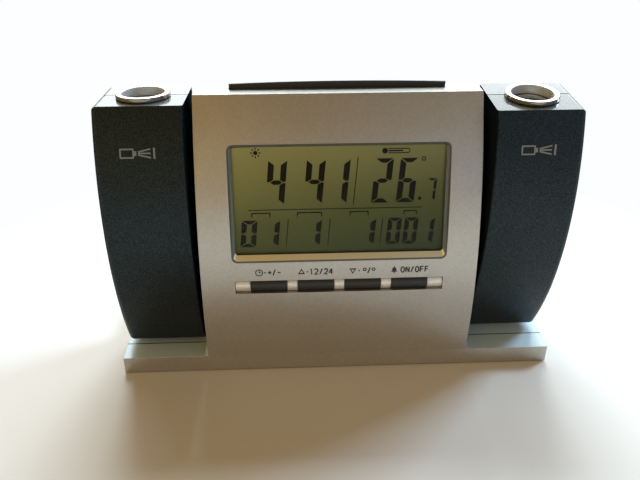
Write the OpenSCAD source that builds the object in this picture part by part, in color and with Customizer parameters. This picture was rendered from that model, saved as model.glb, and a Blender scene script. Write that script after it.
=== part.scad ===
// Projection alarm clock: a silver body between two dark pods that tilt on a level axis.
// +X is to the right, +Y to the back, +Z up; the floor is z = 0.

/* [Base] */
// Width of the base
base_w = 160; // [156:1:190]
// Depth of the base, front lip to back edge
base_d = 48; // [46:1:60]
// Height of the base, underside to deck
base_h = 6.5; // [5:0.5:10]
// Wall of the base
base_wall = 1.8; // [1.2:0.1:2.4]
// Depth of the deck strip that belongs to the front cover
deck_seam = 8.8; // [6:0.2:12]
// Thickness of the plate that closes the base
base_plate_t = 1.5; // [1:0.1:2]
// Radius of a rubber foot
foot_r = 4; // [3:0.5:6]
// How far the feet stand proud of the base
foot_proud = 0.4; // [0.3:0.1:1]
// Distance of the feet from the base's edges
foot_inset = 9; // [8:1:14]

/* [Body] */
// Width of the front panel at the deck
panel_w_low = 96.8; // [94:0.2:110]
// Width of the front panel at its top
panel_w_top = 94.4; // [92:0.2:110]
// Height of the front panel above the deck
panel_h = 96; // [92:1:104]
// Radius of the panel's curve, seen from the side
panel_arc_r = 156.8; // [140:0.2:180]
// Height of the panel's foremost line above the deck
panel_arc_rise = 29.3; // [24:0.1:34]
// Wall of the covers
wall = 2; // [1.6:0.1:2.4]
// Distance from the lip to the seam of the covers, which is also the pivot axis
seam_back = 20; // [19:0.2:21]
// Distance from the lip to the flat of the rear cover
rear_back = 42.5; // [42:0.5:45]
// Height of the rear cover's flat above the deck
rear_flat_h = 33; // [32.5:0.5:36]
// Flat land on top, behind the seam
top_land = 0.9; // [0.5:0.1:1.5]

/* [Display] */
// Width of the bezel
display_w = 73.6; // [70:0.2:76]
// Height of the bezel along the panel
display_h = 40.3; // [38:0.1:42]
// Height of the display's middle above the deck
display_rise = 61.6; // [60:0.2:63]
// Depth of the window's face below the bezel's front edge
display_recess = 0.7; // [0.5:0.1:1.1]
// Width of the bezel beside the window
bezel_edge = 1.2; // [1.1:0.1:1.6]
// Width of the bezel over the window
bezel_top = 0.9; // [0.8:0.1:1.4]
// Width of the bezel's slope under the window
bezel_foot = 2.5; // [1.6:0.1:3]
// Corner radius of the bezel
bezel_corner = 2; // [1:0.2:3]
// Thickness of the window
window_t = 1; // [0.8:0.1:1.3]
// Thickness of the LCD glass
lcd_t = 2.2; // [1.6:0.1:2.6]
// Thickness of the light guide
guide_t = 3; // [2:0.1:3.4]
// Thickness of the circuit boards
board_t = 1.2; // [0.8:0.1:1.6]

/* [Keys] */
// Width of a key
key_w = 12.7; // [10:0.1:14]
// Height of a key
key_h = 4.9; // [4:0.1:5.4]
// Distance from key to key
key_pitch = 16.4; // [15.5:0.1:17.4]
// Height of the keys' middle above the deck
key_rise = 31.8; // [31:0.2:32.6]
// Length of the slot for keys and strip
slot_w = 72.6; // [68:0.2:76]
// Crown of the keys and the strip, front to back
key_crown = 1.1; // [0.6:0.1:1.6]
// Travel of a key
key_travel = 0.6; // [0.3:0.1:0.9]

/* [Snooze bar] */
// Width of the snooze bar
snooze_w = 71.6; // [50:0.2:76]
// Distance from the lip to the bar's front face
snooze_back = 18; // [17.4:0.2:18.4]
// Depth of the bar, front to back
snooze_d = 11; // [9:0.5:12]
// Height of the bar's front edge above the body, at its ends
snooze_proud = 1.7; // [1.2:0.1:2.5]
// Extra height at the bar's middle
snooze_crown = 0.7; // [0.3:0.1:1]
// Travel of the bar
snooze_travel = 1; // [0.5:0.1:1]

/* [Pods] */
// Width of a pod
pod_w = 29; // [28:0.2:32]
// Gap between the front panel's foot and a pod
pod_gap = 1.4; // [1.2:0.1:2.5]
// Height of a pod
pod_h = 90.9; // [89:0.1:92]
// Gap under a pod when it stands upright
pod_floor_gap = 2.7; // [2.4:0.1:4]
// Reach of a pod in front of its axis
pod_reach = 22; // [20:0.2:24]
// Radius of a pod's front
pod_arc_r = 110; // [105:1:125]
// Height of a pod's foremost line above its axis
pod_arc_rise = 2.8; // [0:0.1:4]
// Reach of a pod behind its axis
pod_back = 17.5; // [16.5:0.1:19]
// Radius of a pod's back
pod_back_r = 140; // [130:1:180]
// Wall of a pod
pod_wall = 2; // [1.6:0.1:2.2]
// Rounding of a pod's outer edges
pod_edge = 1.8; // [1:0.1:2.4]
// Rounding of a pod's edges beside the body
pod_edge_in = 0.8; // [0.4:0.1:1.2]
// Tilt of the left pod as it stands, top forward
left_tilt = -1.7; // [-5:0.1:5]
// Tilt of the right pod as it stands, top forward
right_tilt = 4.6; // [-5:0.1:5]

/* [Pivots] */
// Height of the pivot axis above the deck
pivot_rise = 48.5; // [48:0.1:49.5]
// Radius of the hollow hub
hub_r = 5; // [4.5:0.1:5.4]
// Radius of the hole through the hub
hub_hole_r = 3; // [2:0.1:3.4]
// Radius of the hub's flange inside the pod
hub_flange_r = 9; // [8:0.1:10]
// Radius of the bush in the body's side
bush_r = 7; // [6.6:0.1:7.4]
// Thickness of the hub's flange
hub_flange_t = 1.5; // [1:0.1:2]
// Thickness of the friction washer
washer_t = 0.8; // [0.5:0.1:1]
// Thickness of the hub's nut
nut_t = 2.4; // [2:0.1:3]

/* [Projectors] */
// Distance from a pod's inner face to its projector's axis
lens_offset = 14.3; // [14:0.1:15.4]
// Distance of the projector's axis in front of the pivot axis
lens_fore = 2.4; // [0:0.1:2.8]
// Outer radius of the focus ring
ring_r = 8.9; // [8.7:0.1:9.4]
// Radius of the focus ring's mouth
mouth_r = 7; // [6.6:0.1:7.4]
// Height of the focus ring above the pod
ring_proud = 1.6; // [1.4:0.1:2.4]
// Depth of the throat below the focus ring's top
throat_depth = 3.4; // [3:0.1:3.8]
// Radius of the focus ring's skirt, in the pod's top
skirt_r = 7.9; // [7.5:0.1:8.1]
// Outer radius of the lens barrel
barrel_r = 6; // [5.6:0.1:6.2]
// Radius of the lens
lens_r = 5.1; // [4.6:0.1:5.2]
// Travel of the lens barrel each way from mid focus
focus_travel = 0.9; // [0.5:0.1:1]
// Side of the square lamp housing
lamp_side = 15.4; // [15:0.1:16]
// Length of the lamp housing
lamp_l = 12; // [11:0.5:13]
// Thickness of the image plate
plate_t = 1.1; // [0.8:0.1:1.4]

/* [Power] */
// Radius of a cell
cell_r = 7.25; // [7:0.05:7.25]
// Length of a cell
cell_l = 50.5; // [49:0.5:51]
// Width of the battery door
door_w = 54; // [50:1:54]
// Thickness of the battery door
door_t = 1.8; // [1.5:0.1:2]

/* [Fits] */
// Radial clearance of a running fit
run_gap = 0.05; // [0.03:0.01:0.1]
// Clearance of a sliding fit
slide_gap = 0.25; // [0.15:0.05:0.3]
// Clearance between fixed pieces
seat_gap = 0.1; // [0.05:0.01:0.15]

/* [Hidden] */
left = -1;
right = 1;
e = 0.01;
$fn = 72;
arc_fn = 720;
far = 300;

// Main planes and lines
panel_bulge = panel_arc_r - sqrt(pow(panel_arc_r, 2) - pow(panel_arc_rise, 2));
lip_y = -(base_d - panel_bulge) / 2;
front_over = 5;
back_y = lip_y + base_d;
seam_y = lip_y + seam_back;
rear_y = lip_y + rear_back;
deck_z = foot_proud + base_h;
body_top = deck_z + panel_h;
pivot_z = deck_z + pivot_rise;
arc_y = lip_y - panel_bulge + panel_arc_r;
arc_z = deck_z + panel_arc_rise;
rear_flat_z = deck_z + rear_flat_h;
rear_depth = rear_y - seam_y - top_land;
rear_rise = body_top - rear_flat_z;
rear_arc_r = (pow(rear_depth, 2) + pow(rear_rise, 2)) / (2 * rear_depth);
rear_arc_y = rear_y - rear_arc_r;

// Front face of the panel, rear face of the body and half width of the body at height z
function panel_y(z) = arc_y - sqrt(pow(panel_arc_r, 2) - pow(z - arc_z, 2));
function rear_face_y(z) = z < rear_flat_z ? rear_y
    : rear_arc_y + sqrt(pow(rear_arc_r, 2) - pow(z - rear_flat_z, 2));
function body_half(z) = (panel_w_low + (panel_w_top - panel_w_low) * (z - deck_z) / panel_h) / 2;

// Display: its plane is the chord of the panel's curve
display_lean = asin((deck_z + display_rise - arc_z) / panel_arc_r);
display_sag = pow(display_h, 2) / (8 * panel_arc_r);
display_y = arc_y - (panel_arc_r - display_sag) * cos(display_lean);
display_z = arc_z + (panel_arc_r - display_sag) * sin(display_lean);
bezel_flange = 1.8;
bezel_flange_t = 0.9;
flange_clear = 0.4;
bezel_back = wall + flange_clear + bezel_flange_t;
window_margin = 0.4;
window_w = display_w - 2 * bezel_edge;
window_h = display_h - bezel_top - bezel_foot;
window_z = (bezel_foot - bezel_top) / 2;
glass_w = window_w + 2 * (window_margin - seat_gap);
glass_h = window_h + 2 * (window_margin - seat_gap);
glass_gap = 0.2;
lcd_y = display_recess + window_t + glass_gap;
guide_y = lcd_y + lcd_t;
board_y = guide_y + guide_t;
board_w = 79;
screw_clear = 5.4;
post_x = 1.5 * key_pitch + screw_clear;
post_r = 1.8;
post_z = display_h / 2 + bezel_flange + post_r + 0.2;
board_h = 2 * post_z + 3.6;
strip_t = 2.2;
strip_inset = 3;
drop_at = [6, 0, 4];
drop_r = 7;
drop_h = 1.6;
capacitor_at = [-16, 0, -6];
capacitor_pitch = 6;
capacitor_r = 2.2;
capacitor_h = 4;
crystal_at = [-19, 0, 8];
crystal_l = 8;
crystal_d = 2.4;
ribbon_w = 20;
ribbon_t = 0.4;
ribbon_ends = [-18, -14];
ribbon_drop = 3;
ribbon_rise = 5;
lead_r = 0.9;
lead_inset = 3.5;
lead_clear = 5.1;
lead_end_z = -8;
lead_bend = 8;

// Point (y, z) of the side view that lies at (y, z) in the display's plane
function display_point(y, z) = [display_y + y * cos(display_lean) + z * sin(display_lean),
    display_z - y * sin(display_lean) + z * cos(display_lean)];

// Keys
key_z = deck_z + key_rise;
key_face_y = panel_y(key_z);
slot_h = key_h + 2 * seat_gap;
rail_y = key_face_y + wall + slide_gap;
rail_t = 1.1;
rail_h = 6.8;
strip_recess = 0.35;
key_recess = 0.1;
stem_w = 9;
stem_h = 3.2;
stem_reach = 4.3;
key_post_drop = 1.5;
key_board_low = 6;
key_board_high = 4;
key_post_x = slot_w / 2 + post_r;
key_post_z = key_z - key_post_drop;
stem_end_y = rail_y + rail_t + stem_reach;
switch_side = 6;
switch_h = 3.4;
switch_stem_r = 1.6;
switch_stem_h = 0.7;
key_switch_y = stem_end_y + key_travel + seat_gap;
key_board_y = key_switch_y + switch_stem_h + switch_h;
key_xs = [for (i = [-1.5:1:1.5]) i * key_pitch];

// Snooze bar
snooze_y = lip_y + snooze_back;
snooze_end_y = snooze_y + snooze_d;
snooze_edge_z = body_top + snooze_proud + snooze_crown;
snooze_end_z = rear_flat_z + sqrt(pow(rear_arc_r, 2) - pow(snooze_end_y - rear_arc_y, 2)) + 1;
snooze_sag = 0.8;
snooze_skin = 1.7;
snooze_skirt = 3;
snooze_front_skirt = 6;
snooze_mid_y = snooze_y + snooze_d / 2;
shelf_t = 1.6;
shelf_drop = 9.5;
shelf_z = snooze_end_z - shelf_drop;
shelf_half = 34;
snooze_board_w = 24;
snooze_board_d = 8;
guide_x = 24;
guide_r = 1.6;
plunger_r = 2.4;

// Pods, measured from their own pivot axis
pod_x = panel_w_low / 2 + pod_gap;
pod_end_x = pod_x + pod_w;
pod_low = pod_floor_gap - pivot_rise;
pod_top = pod_low + pod_h;
pod_inner_edge = 0.5;
lens_x = pod_x + lens_offset;
lens_y = -lens_fore;
flange_z = pod_top - pod_wall - slide_gap;
ring_flange_lip = 0.8;
ring_flange_r = skirt_r + ring_flange_lip;
ring_flange_t = 1.1;
collar_gap = 0.15;
ring_bevel = 0.25;
ledge_t = 0.4;
collar_top = pod_top + ring_proud;
throat_z = collar_top - throat_depth;
skirt_depth = 7.4;
skirt_low = pod_top - skirt_depth;
barrel_top = throat_z - focus_travel - seat_gap;
barrel_l = 10.4;
tube_l = 16;
tube_bore_l = 9;
tube_foot_t = 2;
tube_top = skirt_low - seat_gap;
tube_low = tube_top - tube_l;
tube_r = lamp_side / 2;
lamp_top = tube_low;
lamp_low = lamp_top - lamp_l;
lens_depth = 1.2;
lens_z = barrel_top - lens_depth;
lens_dome = 1.1;
lens_rim_t = 0.5;
lamp_r = 2.5;
lamp_l_straight = 5;
lamp_rim = 0.4;
plate_margin = 1.4;
housing_bore_r = 5;
housing_floor_t = 1.2;

// Pivot, along x on the right side
bearing_x = body_half(pivot_z);
bush_out_x = pod_x - slide_gap;
bush_inner_l = 1.5;
bush_in_x = bearing_x - wall - bush_inner_l;
washer_x = bush_in_x - washer_t;
nut_x = washer_x - nut_t;
nut_lip = 1;
nut_r = bush_r + nut_lip;
lug_reach = 2.4;
lug_r = nut_r + lug_reach;
lug_w = 2.8;
lug_gap = 0.8;
stop_w = 1.8;

// Battery bay
cell_gap = 0.5;
cell_tip_r = 2.6;
cell_tip_l = 1.2;
bay_wall = 1.5;
bay_end = 3;
bay_half = cell_l / 2 + bay_end;
bay_h = 4 * cell_r + 3 * cell_gap - seat_gap;
bay_front_y = rear_y - wall - 2 * cell_r - cell_gap;
cell_y = rear_y - wall - cell_r - cell_gap / 2;
cell_z = [deck_z + cell_gap / 2 + cell_r, deck_z + cell_gap + 3 * cell_r + cell_gap / 2];
door_rise = 3;
door_drop = 0.9;
door_low = deck_z + door_rise;
door_high = deck_z + bay_h - door_drop;
door_axis_y = rear_y - door_t / 2;
door_axis_z = door_low + door_t / 2;
door_pin_r = 0.55;
door_pin_l = 1.2;
notch_r = 2.6;
notch_w = 14;
contact_t = 0.4;
contact_half = 5;
leaf_t = 0.95;
leaf_w = 4.4;

// Screws: shank radius, head radius, head height
screw_r = 1;
head_r = 2;
head_h = 1.5;
boss_r = 2.4;
screw_wall = 1.2;
board_screw_r = 0.8;
board_screw_l = 3.6;
board_head_r = 1.7;
board_head_h = 1.2;
seat_depth = 3;
case_screw_in = 1.6;
case_screw_rise = 9;
case_screw_drop = 9.5;
case_screw_x = body_half(body_top) - wall - case_screw_in;
case_screw_z = [deck_z + case_screw_rise, body_top - case_screw_drop];
screw_depth = 9;
screw_l = 10.5;
pod_screw_in = 6.5;
pod_screw_rise = 7.5;
pod_side_screw_in = pod_wall + head_r + screw_wall / 2;
pod_side_screw_drop = 3;
pod_screws_at = [[pod_x + pod_screw_in, pod_low + pod_screw_rise],
    [pod_end_x - pod_screw_in, pod_low + pod_screw_rise],
    [pod_end_x - pod_side_screw_in, -pod_side_screw_drop]];
rib_t = 1.5;
rib_rise = 2.5;
base_screw_in = 18;
base_screw_fore = 6;
base_screw_back = 7;
base_screw_x = base_w / 2 - base_screw_in;
base_screw_y = [lip_y + deck_seam + base_screw_fore, back_y - base_screw_back];
base_head_h = 0.5;
base_screw_l = 4.2;

// Sounder in the rear cover
sounder_r = 11;
sounder_t = 3.2;
sounder_rim = 1.3;
sounder_rise = 22;
sounder_z = rear_flat_z + sounder_rise;
sounder_x = -24;
sounder_seat_y = rear_face_y(sounder_z + sounder_r) - wall;
sound_hole_r = 0.8;
sound_hole_ring_r = 4;

// ---------- Building blocks ----------

// Box between two corners, each given as a range along x, y and z
module block(x, y, z) {
    translate([x[0], y[0], z[0]]) cube([x[1] - x[0], y[1] - y[0], z[1] - z[0]]);
}

// A side view (y, z) drawn out along x
module along_x(w) {
    rotate([90, 0, 90]) linear_extrude(w, center = true) children();
}

// A front view (x, z) drawn out along y
module along_y(y0, y1) {
    translate([0, y1, 0]) rotate([90, 0, 0]) linear_extrude(y1 - y0) children();
}

// Rod along y, from y0 to y1
module rod_y(x, z, y0, y1, r) {
    translate([x, y1, z]) rotate([90, 0, 0]) cylinder(r = r, h = y1 - y0);
}

// Rod along x, from x0 to x1, about the local origin, its start line at the back
module rod_x(x0, x1, r) {
    translate([x0, 0, 0]) rotate([0, 90, 0]) rotate([0, 0, 90]) cylinder(r = r, h = x1 - x0);
}

// Both sides of the clock
module both_sides() {
    children();
    mirror([1, 0, 0]) children();
}

// Rounded plate in the x-z plane, from y0 to y1
module rounded_plate(w, h, r, y0, y1) {
    block([-w / 2 + r, w / 2 - r], [y0, y1], [-h / 2, h / 2]);
    block([-w / 2, w / 2], [y0, y1], [-h / 2 + r, h / 2 - r]);
    for (sx = [-1, 1], sz = [-1, 1]) rod_y(sx * (w / 2 - r), sz * (h / 2 - r), y0, y1, r);
}

// Places a piece in the display's plane: local -Y faces the reader
module on_display() {
    translate([0, display_y, display_z]) rotate([-display_lean, 0, 0]) children();
}

// Places a piece in the display's plane, about the middle of the window
module on_window() {
    on_display() translate([0, 0, window_z]) children();
}

// Places a piece of a pod, drawn for the right side about its pivot axis
module on_pod(side) {
    tilt = side == left ? left_tilt : right_tilt;
    translate([0, seam_y, pivot_z]) rotate([tilt, 0, 0]) mirror([side == left ? 1 : 0, 0, 0])
        children();
}

// Self-tapping screw with its head's seat at y, driven towards the front
module screw_y(x, z, y, l) {
    rod_y(x, z, y - l, y + e, screw_r);
    rod_y(x, z, y, y + head_h, head_r);
}

// Insulated wire through a list of points
module wire(points, r) {
    for (i = [0:len(points) - 2]) {
        d = points[i + 1] - points[i];
        l = norm(d);
        translate(points[i]) rotate([0, acos(d[2] / l), atan2(d[1], d[0])]) cylinder(r = r, h = l, $fn = 24);
        if (i > 0) translate(points[i]) sphere(r = r + e, $fn = 24);
    }
}

// ---------- Covers ----------

// Front view of the body, drawn in by inset
module body_front_view(inset) {
    half_low = panel_w_low / 2 - inset;
    half_top = panel_w_top / 2 - inset;
    top = body_top - inset;
    polygon([[-half_low, deck_z], [half_low, deck_z], [half_top, top], [-half_top, top]]);
}

// Body in front of the seam, reaching past it by extra
module front_body(inset = 0, extra = 0) {
    intersection() {
        along_y(lip_y - far, seam_y + extra) body_front_view(inset);
        along_x(far) translate([arc_y, arc_z]) circle(r = panel_arc_r - inset, $fn = arc_fn);
    }
}

// Body behind the seam, reaching before it by extra
module rear_body(inset = 0, extra = 0) {
    intersection() {
        along_y(seam_y - extra, rear_y - inset) body_front_view(inset);
        along_x(far) union() {
            translate([seam_y - wall, deck_z - e]) square([rear_y - seam_y + wall, rear_flat_h + e]);
            translate([rear_arc_y, rear_flat_z]) circle(r = rear_arc_r - inset, $fn = arc_fn);
        }
    }
}

// Holes for the two bushes
module bearing_holes() {
    translate([0, seam_y, pivot_z]) rod_x(-far, far, bush_r + seat_gap);
}

// Opening in the top edge for the snooze bar
module snooze_opening() {
    half = snooze_w / 2 + slide_gap;
    block([-half, half], [snooze_y - slide_gap, snooze_end_y + slide_gap], [shelf_z + shelf_t + 2, far]);
}

// Ribs inside the walls that stop the hub's lug, before or behind the axis
module stop_ribs(direction) {
    reach = [nut_r + lug_gap, lug_r];
    both_sides() translate([0, seam_y, pivot_z])
        block([nut_x, bearing_x - wall + 0.6],
            direction < 0 ? [-reach[1], -reach[0]] : [reach[0], reach[1]],
            [-lug_w / 2 - seat_gap - stop_w, -lug_w / 2 - seat_gap]);
}

// Silver front cover: curved panel, its side walls and the front strip of the base
module front_cover() {
    color("silver") difference() {
        union() {
            difference() {
                front_body();
                front_body(wall, 1);
            }
            block([-base_w / 2, base_w / 2], [lip_y, lip_y + deck_seam], [foot_proud, deck_z]);
            intersection() {
                front_body();
                union() {
                    for (sx = [-1, 1], z = case_screw_z)
                        rod_y(sx * case_screw_x, z, lip_y - front_over, seam_y, boss_r);
                    on_display() for (sx = [-1, 1], sz = [-1, 1])
                        rod_y(sx * post_x, sz * post_z, -2, board_y, post_r);
                    for (sx = [-1, 1])
                        rod_y(sx * key_post_x, key_post_z, lip_y - front_over, key_board_y, post_r - 0.3);
                }
            }
            stop_ribs(-1);
        }
        block([-base_w / 2 + base_wall, base_w / 2 - base_wall],
            [lip_y + base_wall, lip_y + deck_seam + 1], [foot_proud - 1, deck_z - base_wall]);
        on_display() rounded_plate(display_w + 2 * seat_gap, display_h + 2 * seat_gap, bezel_corner,
            -4, bezel_back - bezel_flange_t);
        block([-slot_w / 2, slot_w / 2], [lip_y - front_over, key_face_y + wall + 1],
            [key_z - slot_h / 2, key_z + slot_h / 2]);
        snooze_opening();
        bearing_holes();
        for (sx = [-1, 1], z = case_screw_z)
            rod_y(sx * case_screw_x, z, seam_y - screw_depth, seam_y + 1, screw_r);
        on_display() for (sx = [-1, 1], sz = [-1, 1])
            rod_y(sx * post_x, sz * post_z, board_y - 4, board_y + 1, board_screw_r);
    }
}

// Silver rear cover: back of the body, its battery bay and the rest of the base
module rear_cover() {
    bay_back = rear_y - wall + 0.5;
    color("silver") difference() {
        union() {
            difference() {
                rear_body();
                rear_body(wall, 1);
            }
            block([-base_w / 2, base_w / 2], [lip_y + deck_seam, back_y], [foot_proud, deck_z]);
            block([-bay_half - bay_wall, bay_half + bay_wall], [bay_front_y - bay_wall, bay_back],
                [deck_z - e, deck_z + bay_h + bay_wall]);
            intersection() {
                rear_body();
                union() {
                    for (sx = [-1, 1], z = case_screw_z)
                        rod_y(sx * case_screw_x, z, seam_y, rear_y, head_r + screw_wall);
                    block([-shelf_half, shelf_half], [seam_y + 1, rear_y], [shelf_z, shelf_z + shelf_t]);
                    rod_y(sounder_x, sounder_z, sounder_seat_y - sounder_t, rear_y, sounder_r + sounder_rim);
                }
            }
            stop_ribs(1);
        }
        block([-base_w / 2 + base_wall, base_w / 2 - base_wall],
            [lip_y + deck_seam - 1, back_y - base_wall], [foot_proud - 1, deck_z - base_wall]);
        block([-bay_half, bay_half], [bay_front_y, rear_y - wall], [deck_z, deck_z + bay_h]);
        battery_opening();
        snooze_opening();
        bearing_holes();
        for (sx = [-1, 1], z = case_screw_z) {
            rod_y(sx * case_screw_x, z, seam_y - 1, rear_y + 1, screw_r + slide_gap);
            rod_y(sx * case_screw_x, z, seam_y + seat_depth, rear_y + 1, head_r + slide_gap);
        }
        for (sx = [-1, 1])
            translate([sx * guide_x, snooze_mid_y, shelf_z - 1])
                cylinder(r = guide_r + seat_gap, h = shelf_t + 2);
        rod_y(sounder_x, sounder_z, seam_y, sounder_seat_y, sounder_r);
        for (i = [0:6]) {
            a = i * 60;
            d = i == 6 ? 0 : sound_hole_ring_r;
            rod_y(sounder_x + d * cos(a), sounder_z + d * sin(a), seam_y, rear_y + 1, sound_hole_r);
        }
    }
    color("silver") for (sx = [-1, 1], y = base_screw_y) difference() {
        translate([sx * base_screw_x, y, foot_proud + base_plate_t])
            cylinder(r = boss_r, h = base_h - base_plate_t - base_wall + e);
        translate([sx * base_screw_x, y, foot_proud]) cylinder(r = screw_r, h = base_h - base_wall);
    }
}

// Opening for the battery door, with the sockets for its pins
module battery_opening() {
    half = door_w / 2 + slide_gap;
    block([-half, half], [rear_y - wall - 1, rear_y + 1], [door_low - slide_gap, door_high + slide_gap]);
    translate([0, door_axis_y, door_axis_z])
        rod_x(-door_w / 2 - door_pin_l - slide_gap, door_w / 2 + door_pin_l + slide_gap,
            door_pin_r + run_gap);
}

// Dark plate that closes the base from below
module base_plate() {
    color("dimgray") difference() {
        block([-base_w / 2 + base_wall + seat_gap, base_w / 2 - base_wall - seat_gap],
            [lip_y + base_wall + seat_gap, back_y - base_wall - seat_gap],
            [foot_proud, foot_proud + base_plate_t]);
        foot_places() cylinder(r = foot_r + seat_gap, h = foot_proud + base_plate_t / 2);
        for (sx = [-1, 1], y = base_screw_y) translate([sx * base_screw_x, y, 0]) {
            cylinder(r = screw_r + slide_gap, h = base_h);
            cylinder(r = head_r + slide_gap, h = foot_proud + base_head_h + 0.3);
        }
    }
}

// The four corners where feet sit
module foot_places() {
    for (sx = [-1, 1], y = [lip_y + foot_inset, back_y - foot_inset])
        translate([sx * (base_w / 2 - foot_inset), y, 0]) children();
}

// Rubber feet
module feet() {
    color("black") foot_places() cylinder(r = foot_r, h = foot_proud + base_plate_t / 2);
}

// Screws that hold the base plate
module base_screws() {
    color("gray") for (sx = [-1, 1], y = base_screw_y) translate([sx * base_screw_x, y, foot_proud]) {
        translate([0, 0, 0.3]) cylinder(r = head_r, h = base_head_h);
        translate([0, 0, 0.3]) cylinder(r = screw_r, h = base_screw_l);
    }
}

// Screws that hold the two covers together
module case_screws() {
    color("gray") for (sx = [-1, 1], z = case_screw_z)
        screw_y(sx * case_screw_x, z, seam_y + seat_depth, screw_l);
}

// ---------- Display ----------

// Grey frame round the window: sloped inner edge, wide at its foot, flange behind the cover
module display_bezel() {
    rebate = [window_w + 2 * window_margin, window_h + 2 * window_margin];
    lip = 0.5;
    color("dimgray") on_display() difference() {
        union() {
            rounded_plate(display_w, display_h, bezel_corner, 0, bezel_back);
            rounded_plate(display_w + 2 * bezel_flange, display_h + 2 * bezel_flange, bezel_corner,
                bezel_back - bezel_flange_t + e, bezel_back);
        }
        translate([0, 0, window_z]) {
            rounded_plate(window_w, window_h, 1, -1, bezel_back + 1);
            rounded_plate(rebate[0], rebate[1], 1, display_recess, bezel_back + 1);
        }
        hull() {
            translate([0, 0, window_z])
                rounded_plate(window_w, window_h, 1, display_recess - e, display_recess, $fn = 32);
            rounded_plate(display_w - 2 * lip, display_h - 2 * lip, bezel_corner - lip, -e, 0, $fn = 32);
        }
    }
}

// Clear window, seated in the bezel's rebate
module display_window() {
    color([0.8, 0.85, 0.8, 0.4]) on_window()
        rounded_plate(glass_w, glass_h, 0.9, display_recess, display_recess + window_t);
}

// LCD glass behind the window, in the same rebate
module lcd_glass() {
    color("olivedrab") on_window()
        rounded_plate(glass_w, glass_h, 0.9, lcd_y, lcd_y + lcd_t);
}

// Light guide between the LCD and the board, with room for the contact strips
module light_guide() {
    half_h = glass_h / 2 - strip_t - seat_gap;
    color("ivory") on_window()
        block([-glass_w / 2, glass_w / 2], [guide_y, board_y], [-half_h, half_h]);
}

// Elastomer strips that join the LCD to the board
module contact_strips() {
    edge = [glass_w / 2 - strip_inset, glass_h / 2];
    color("pink") on_window() for (sz = [-1, 1])
        block([-edge[0], edge[0]], [guide_y, board_y],
            sz < 0 ? [-edge[1], strip_t - edge[1]] : [edge[1] - strip_t, edge[1]]);
}

// Main board, screwed to the front cover's posts
module main_board() {
    color("darkgreen") on_display() difference() {
        block([-board_w / 2, board_w / 2], [board_y, board_y + board_t], [-board_h / 2, board_h / 2]);
        for (sx = [-1, 1], sz = [-1, 1])
            rod_y(sx * post_x, sz * post_z, board_y - 1, board_y + 3, board_screw_r + seat_gap);
    }
}

// Clock chip under its drop of resin, with the crystal and two capacitors beside it
module clock_chip() {
    color("black") on_display() translate([0, board_y + board_t, 0]) {
        translate(drop_at) rotate([-90, 0, 0]) cylinder(r1 = drop_r, r2 = 0.64 * drop_r, h = drop_h);
        for (i = [0, 1]) translate(capacitor_at - [i * capacitor_pitch, 0, 0])
            rod_y(0, 0, 0, capacitor_h, capacitor_r);
        translate(crystal_at) cube([crystal_l, crystal_d, crystal_d]);
    }
}

// Screws that hold the main board
module board_screws() {
    head_y = board_y + board_t;
    color("gray") on_display() for (sx = [-1, 1], sz = [-1, 1])
        translate([sx * post_x, 0, sz * post_z]) {
            rod_y(0, 0, board_y - board_screw_l, head_y + e, board_screw_r);
            rod_y(0, 0, head_y, head_y + board_head_h, board_head_r);
        }
}

// ---------- Keys ----------

// Side view of a key's or the strip's crowned front, its back at depth t behind the apex
module crowned_face(h, t, y) {
    r = (pow(h / 2, 2) + pow(key_crown, 2)) / (2 * key_crown);
    intersection() {
        translate([y + r, key_z]) circle(r = r, $fn = 180);
        translate([y - 1, key_z - h / 2]) square([t + 1, h]);
    }
}

// Silver strip behind the slot: a rail with crowned lands between the keys
module key_strip() {
    clear = key_w / 2 + seat_gap;
    stem_clear = [stem_w / 2 + slide_gap, stem_h / 2 + slide_gap];
    color("silver") difference() {
        union() {
            block([-slot_w / 2, slot_w / 2], [rail_y, rail_y + rail_t],
                [key_z - rail_h / 2, key_z + rail_h / 2]);
            along_x(slot_w - 2 * seat_gap)
                crowned_face(key_h, rail_y - key_face_y, key_face_y + strip_recess);
        }
        for (x = key_xs) {
            block([x - clear, x + clear], [lip_y - front_over, rail_y], [key_z - key_h, key_z + key_h]);
            block([x - stem_clear[0], x + stem_clear[0]], [rail_y - 1, rail_y + rail_t + 1],
                [key_z - stem_clear[1], key_z + stem_clear[1]]);
        }
    }
}

// Black key number i, with its stem and the barb that keeps it in the rail
module key(i) {
    x = key_xs[i];
    cap_t = rail_y - key_face_y - key_recess - key_travel - seat_gap;
    color([0.07, 0.07, 0.08]) {
        translate([x, 0, 0]) along_x(key_w) crowned_face(key_h, cap_t, key_face_y + key_recess);
        block([x - stem_w / 2, x + stem_w / 2], [key_face_y + cap_t - 0.5, stem_end_y],
            [key_z - stem_h / 2, key_z + stem_h / 2]);
        block([x - stem_w / 2 - 1, x + stem_w / 2 + 1], [rail_y + rail_t, stem_end_y],
            [key_z - stem_h / 2, key_z + stem_h / 2]);
    }
}

// Small upright board behind the keys
module key_board() {
    color("darkgreen") difference() {
        block([-key_post_x - post_r, key_post_x + post_r], [key_board_y, key_board_y + board_t],
            [key_z - key_board_low, key_z + key_board_high]);
        for (sx = [-1, 1])
            rod_y(sx * key_post_x, key_post_z, lip_y, key_board_y + 5, board_screw_r);
    }
}

// Tact switch pressed along local -Y towards +Y, its stem's tip at the origin
module tact_switch() {
    rod_y(0, 0, 0, switch_stem_h + e, switch_stem_r);
    block([-switch_side / 2, switch_side / 2], [switch_stem_h, switch_stem_h + switch_h],
        [-switch_side / 2, switch_side / 2]);
}

// Four switches behind the keys and one under the snooze bar
module tact_switches() {
    color("gray") {
        for (x = key_xs) translate([x, key_switch_y, key_z]) tact_switch();
        translate([0, snooze_mid_y, shelf_z + shelf_t + board_t + switch_h + switch_stem_h])
            rotate([-90, 0, 0]) tact_switch();
    }
}

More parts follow.
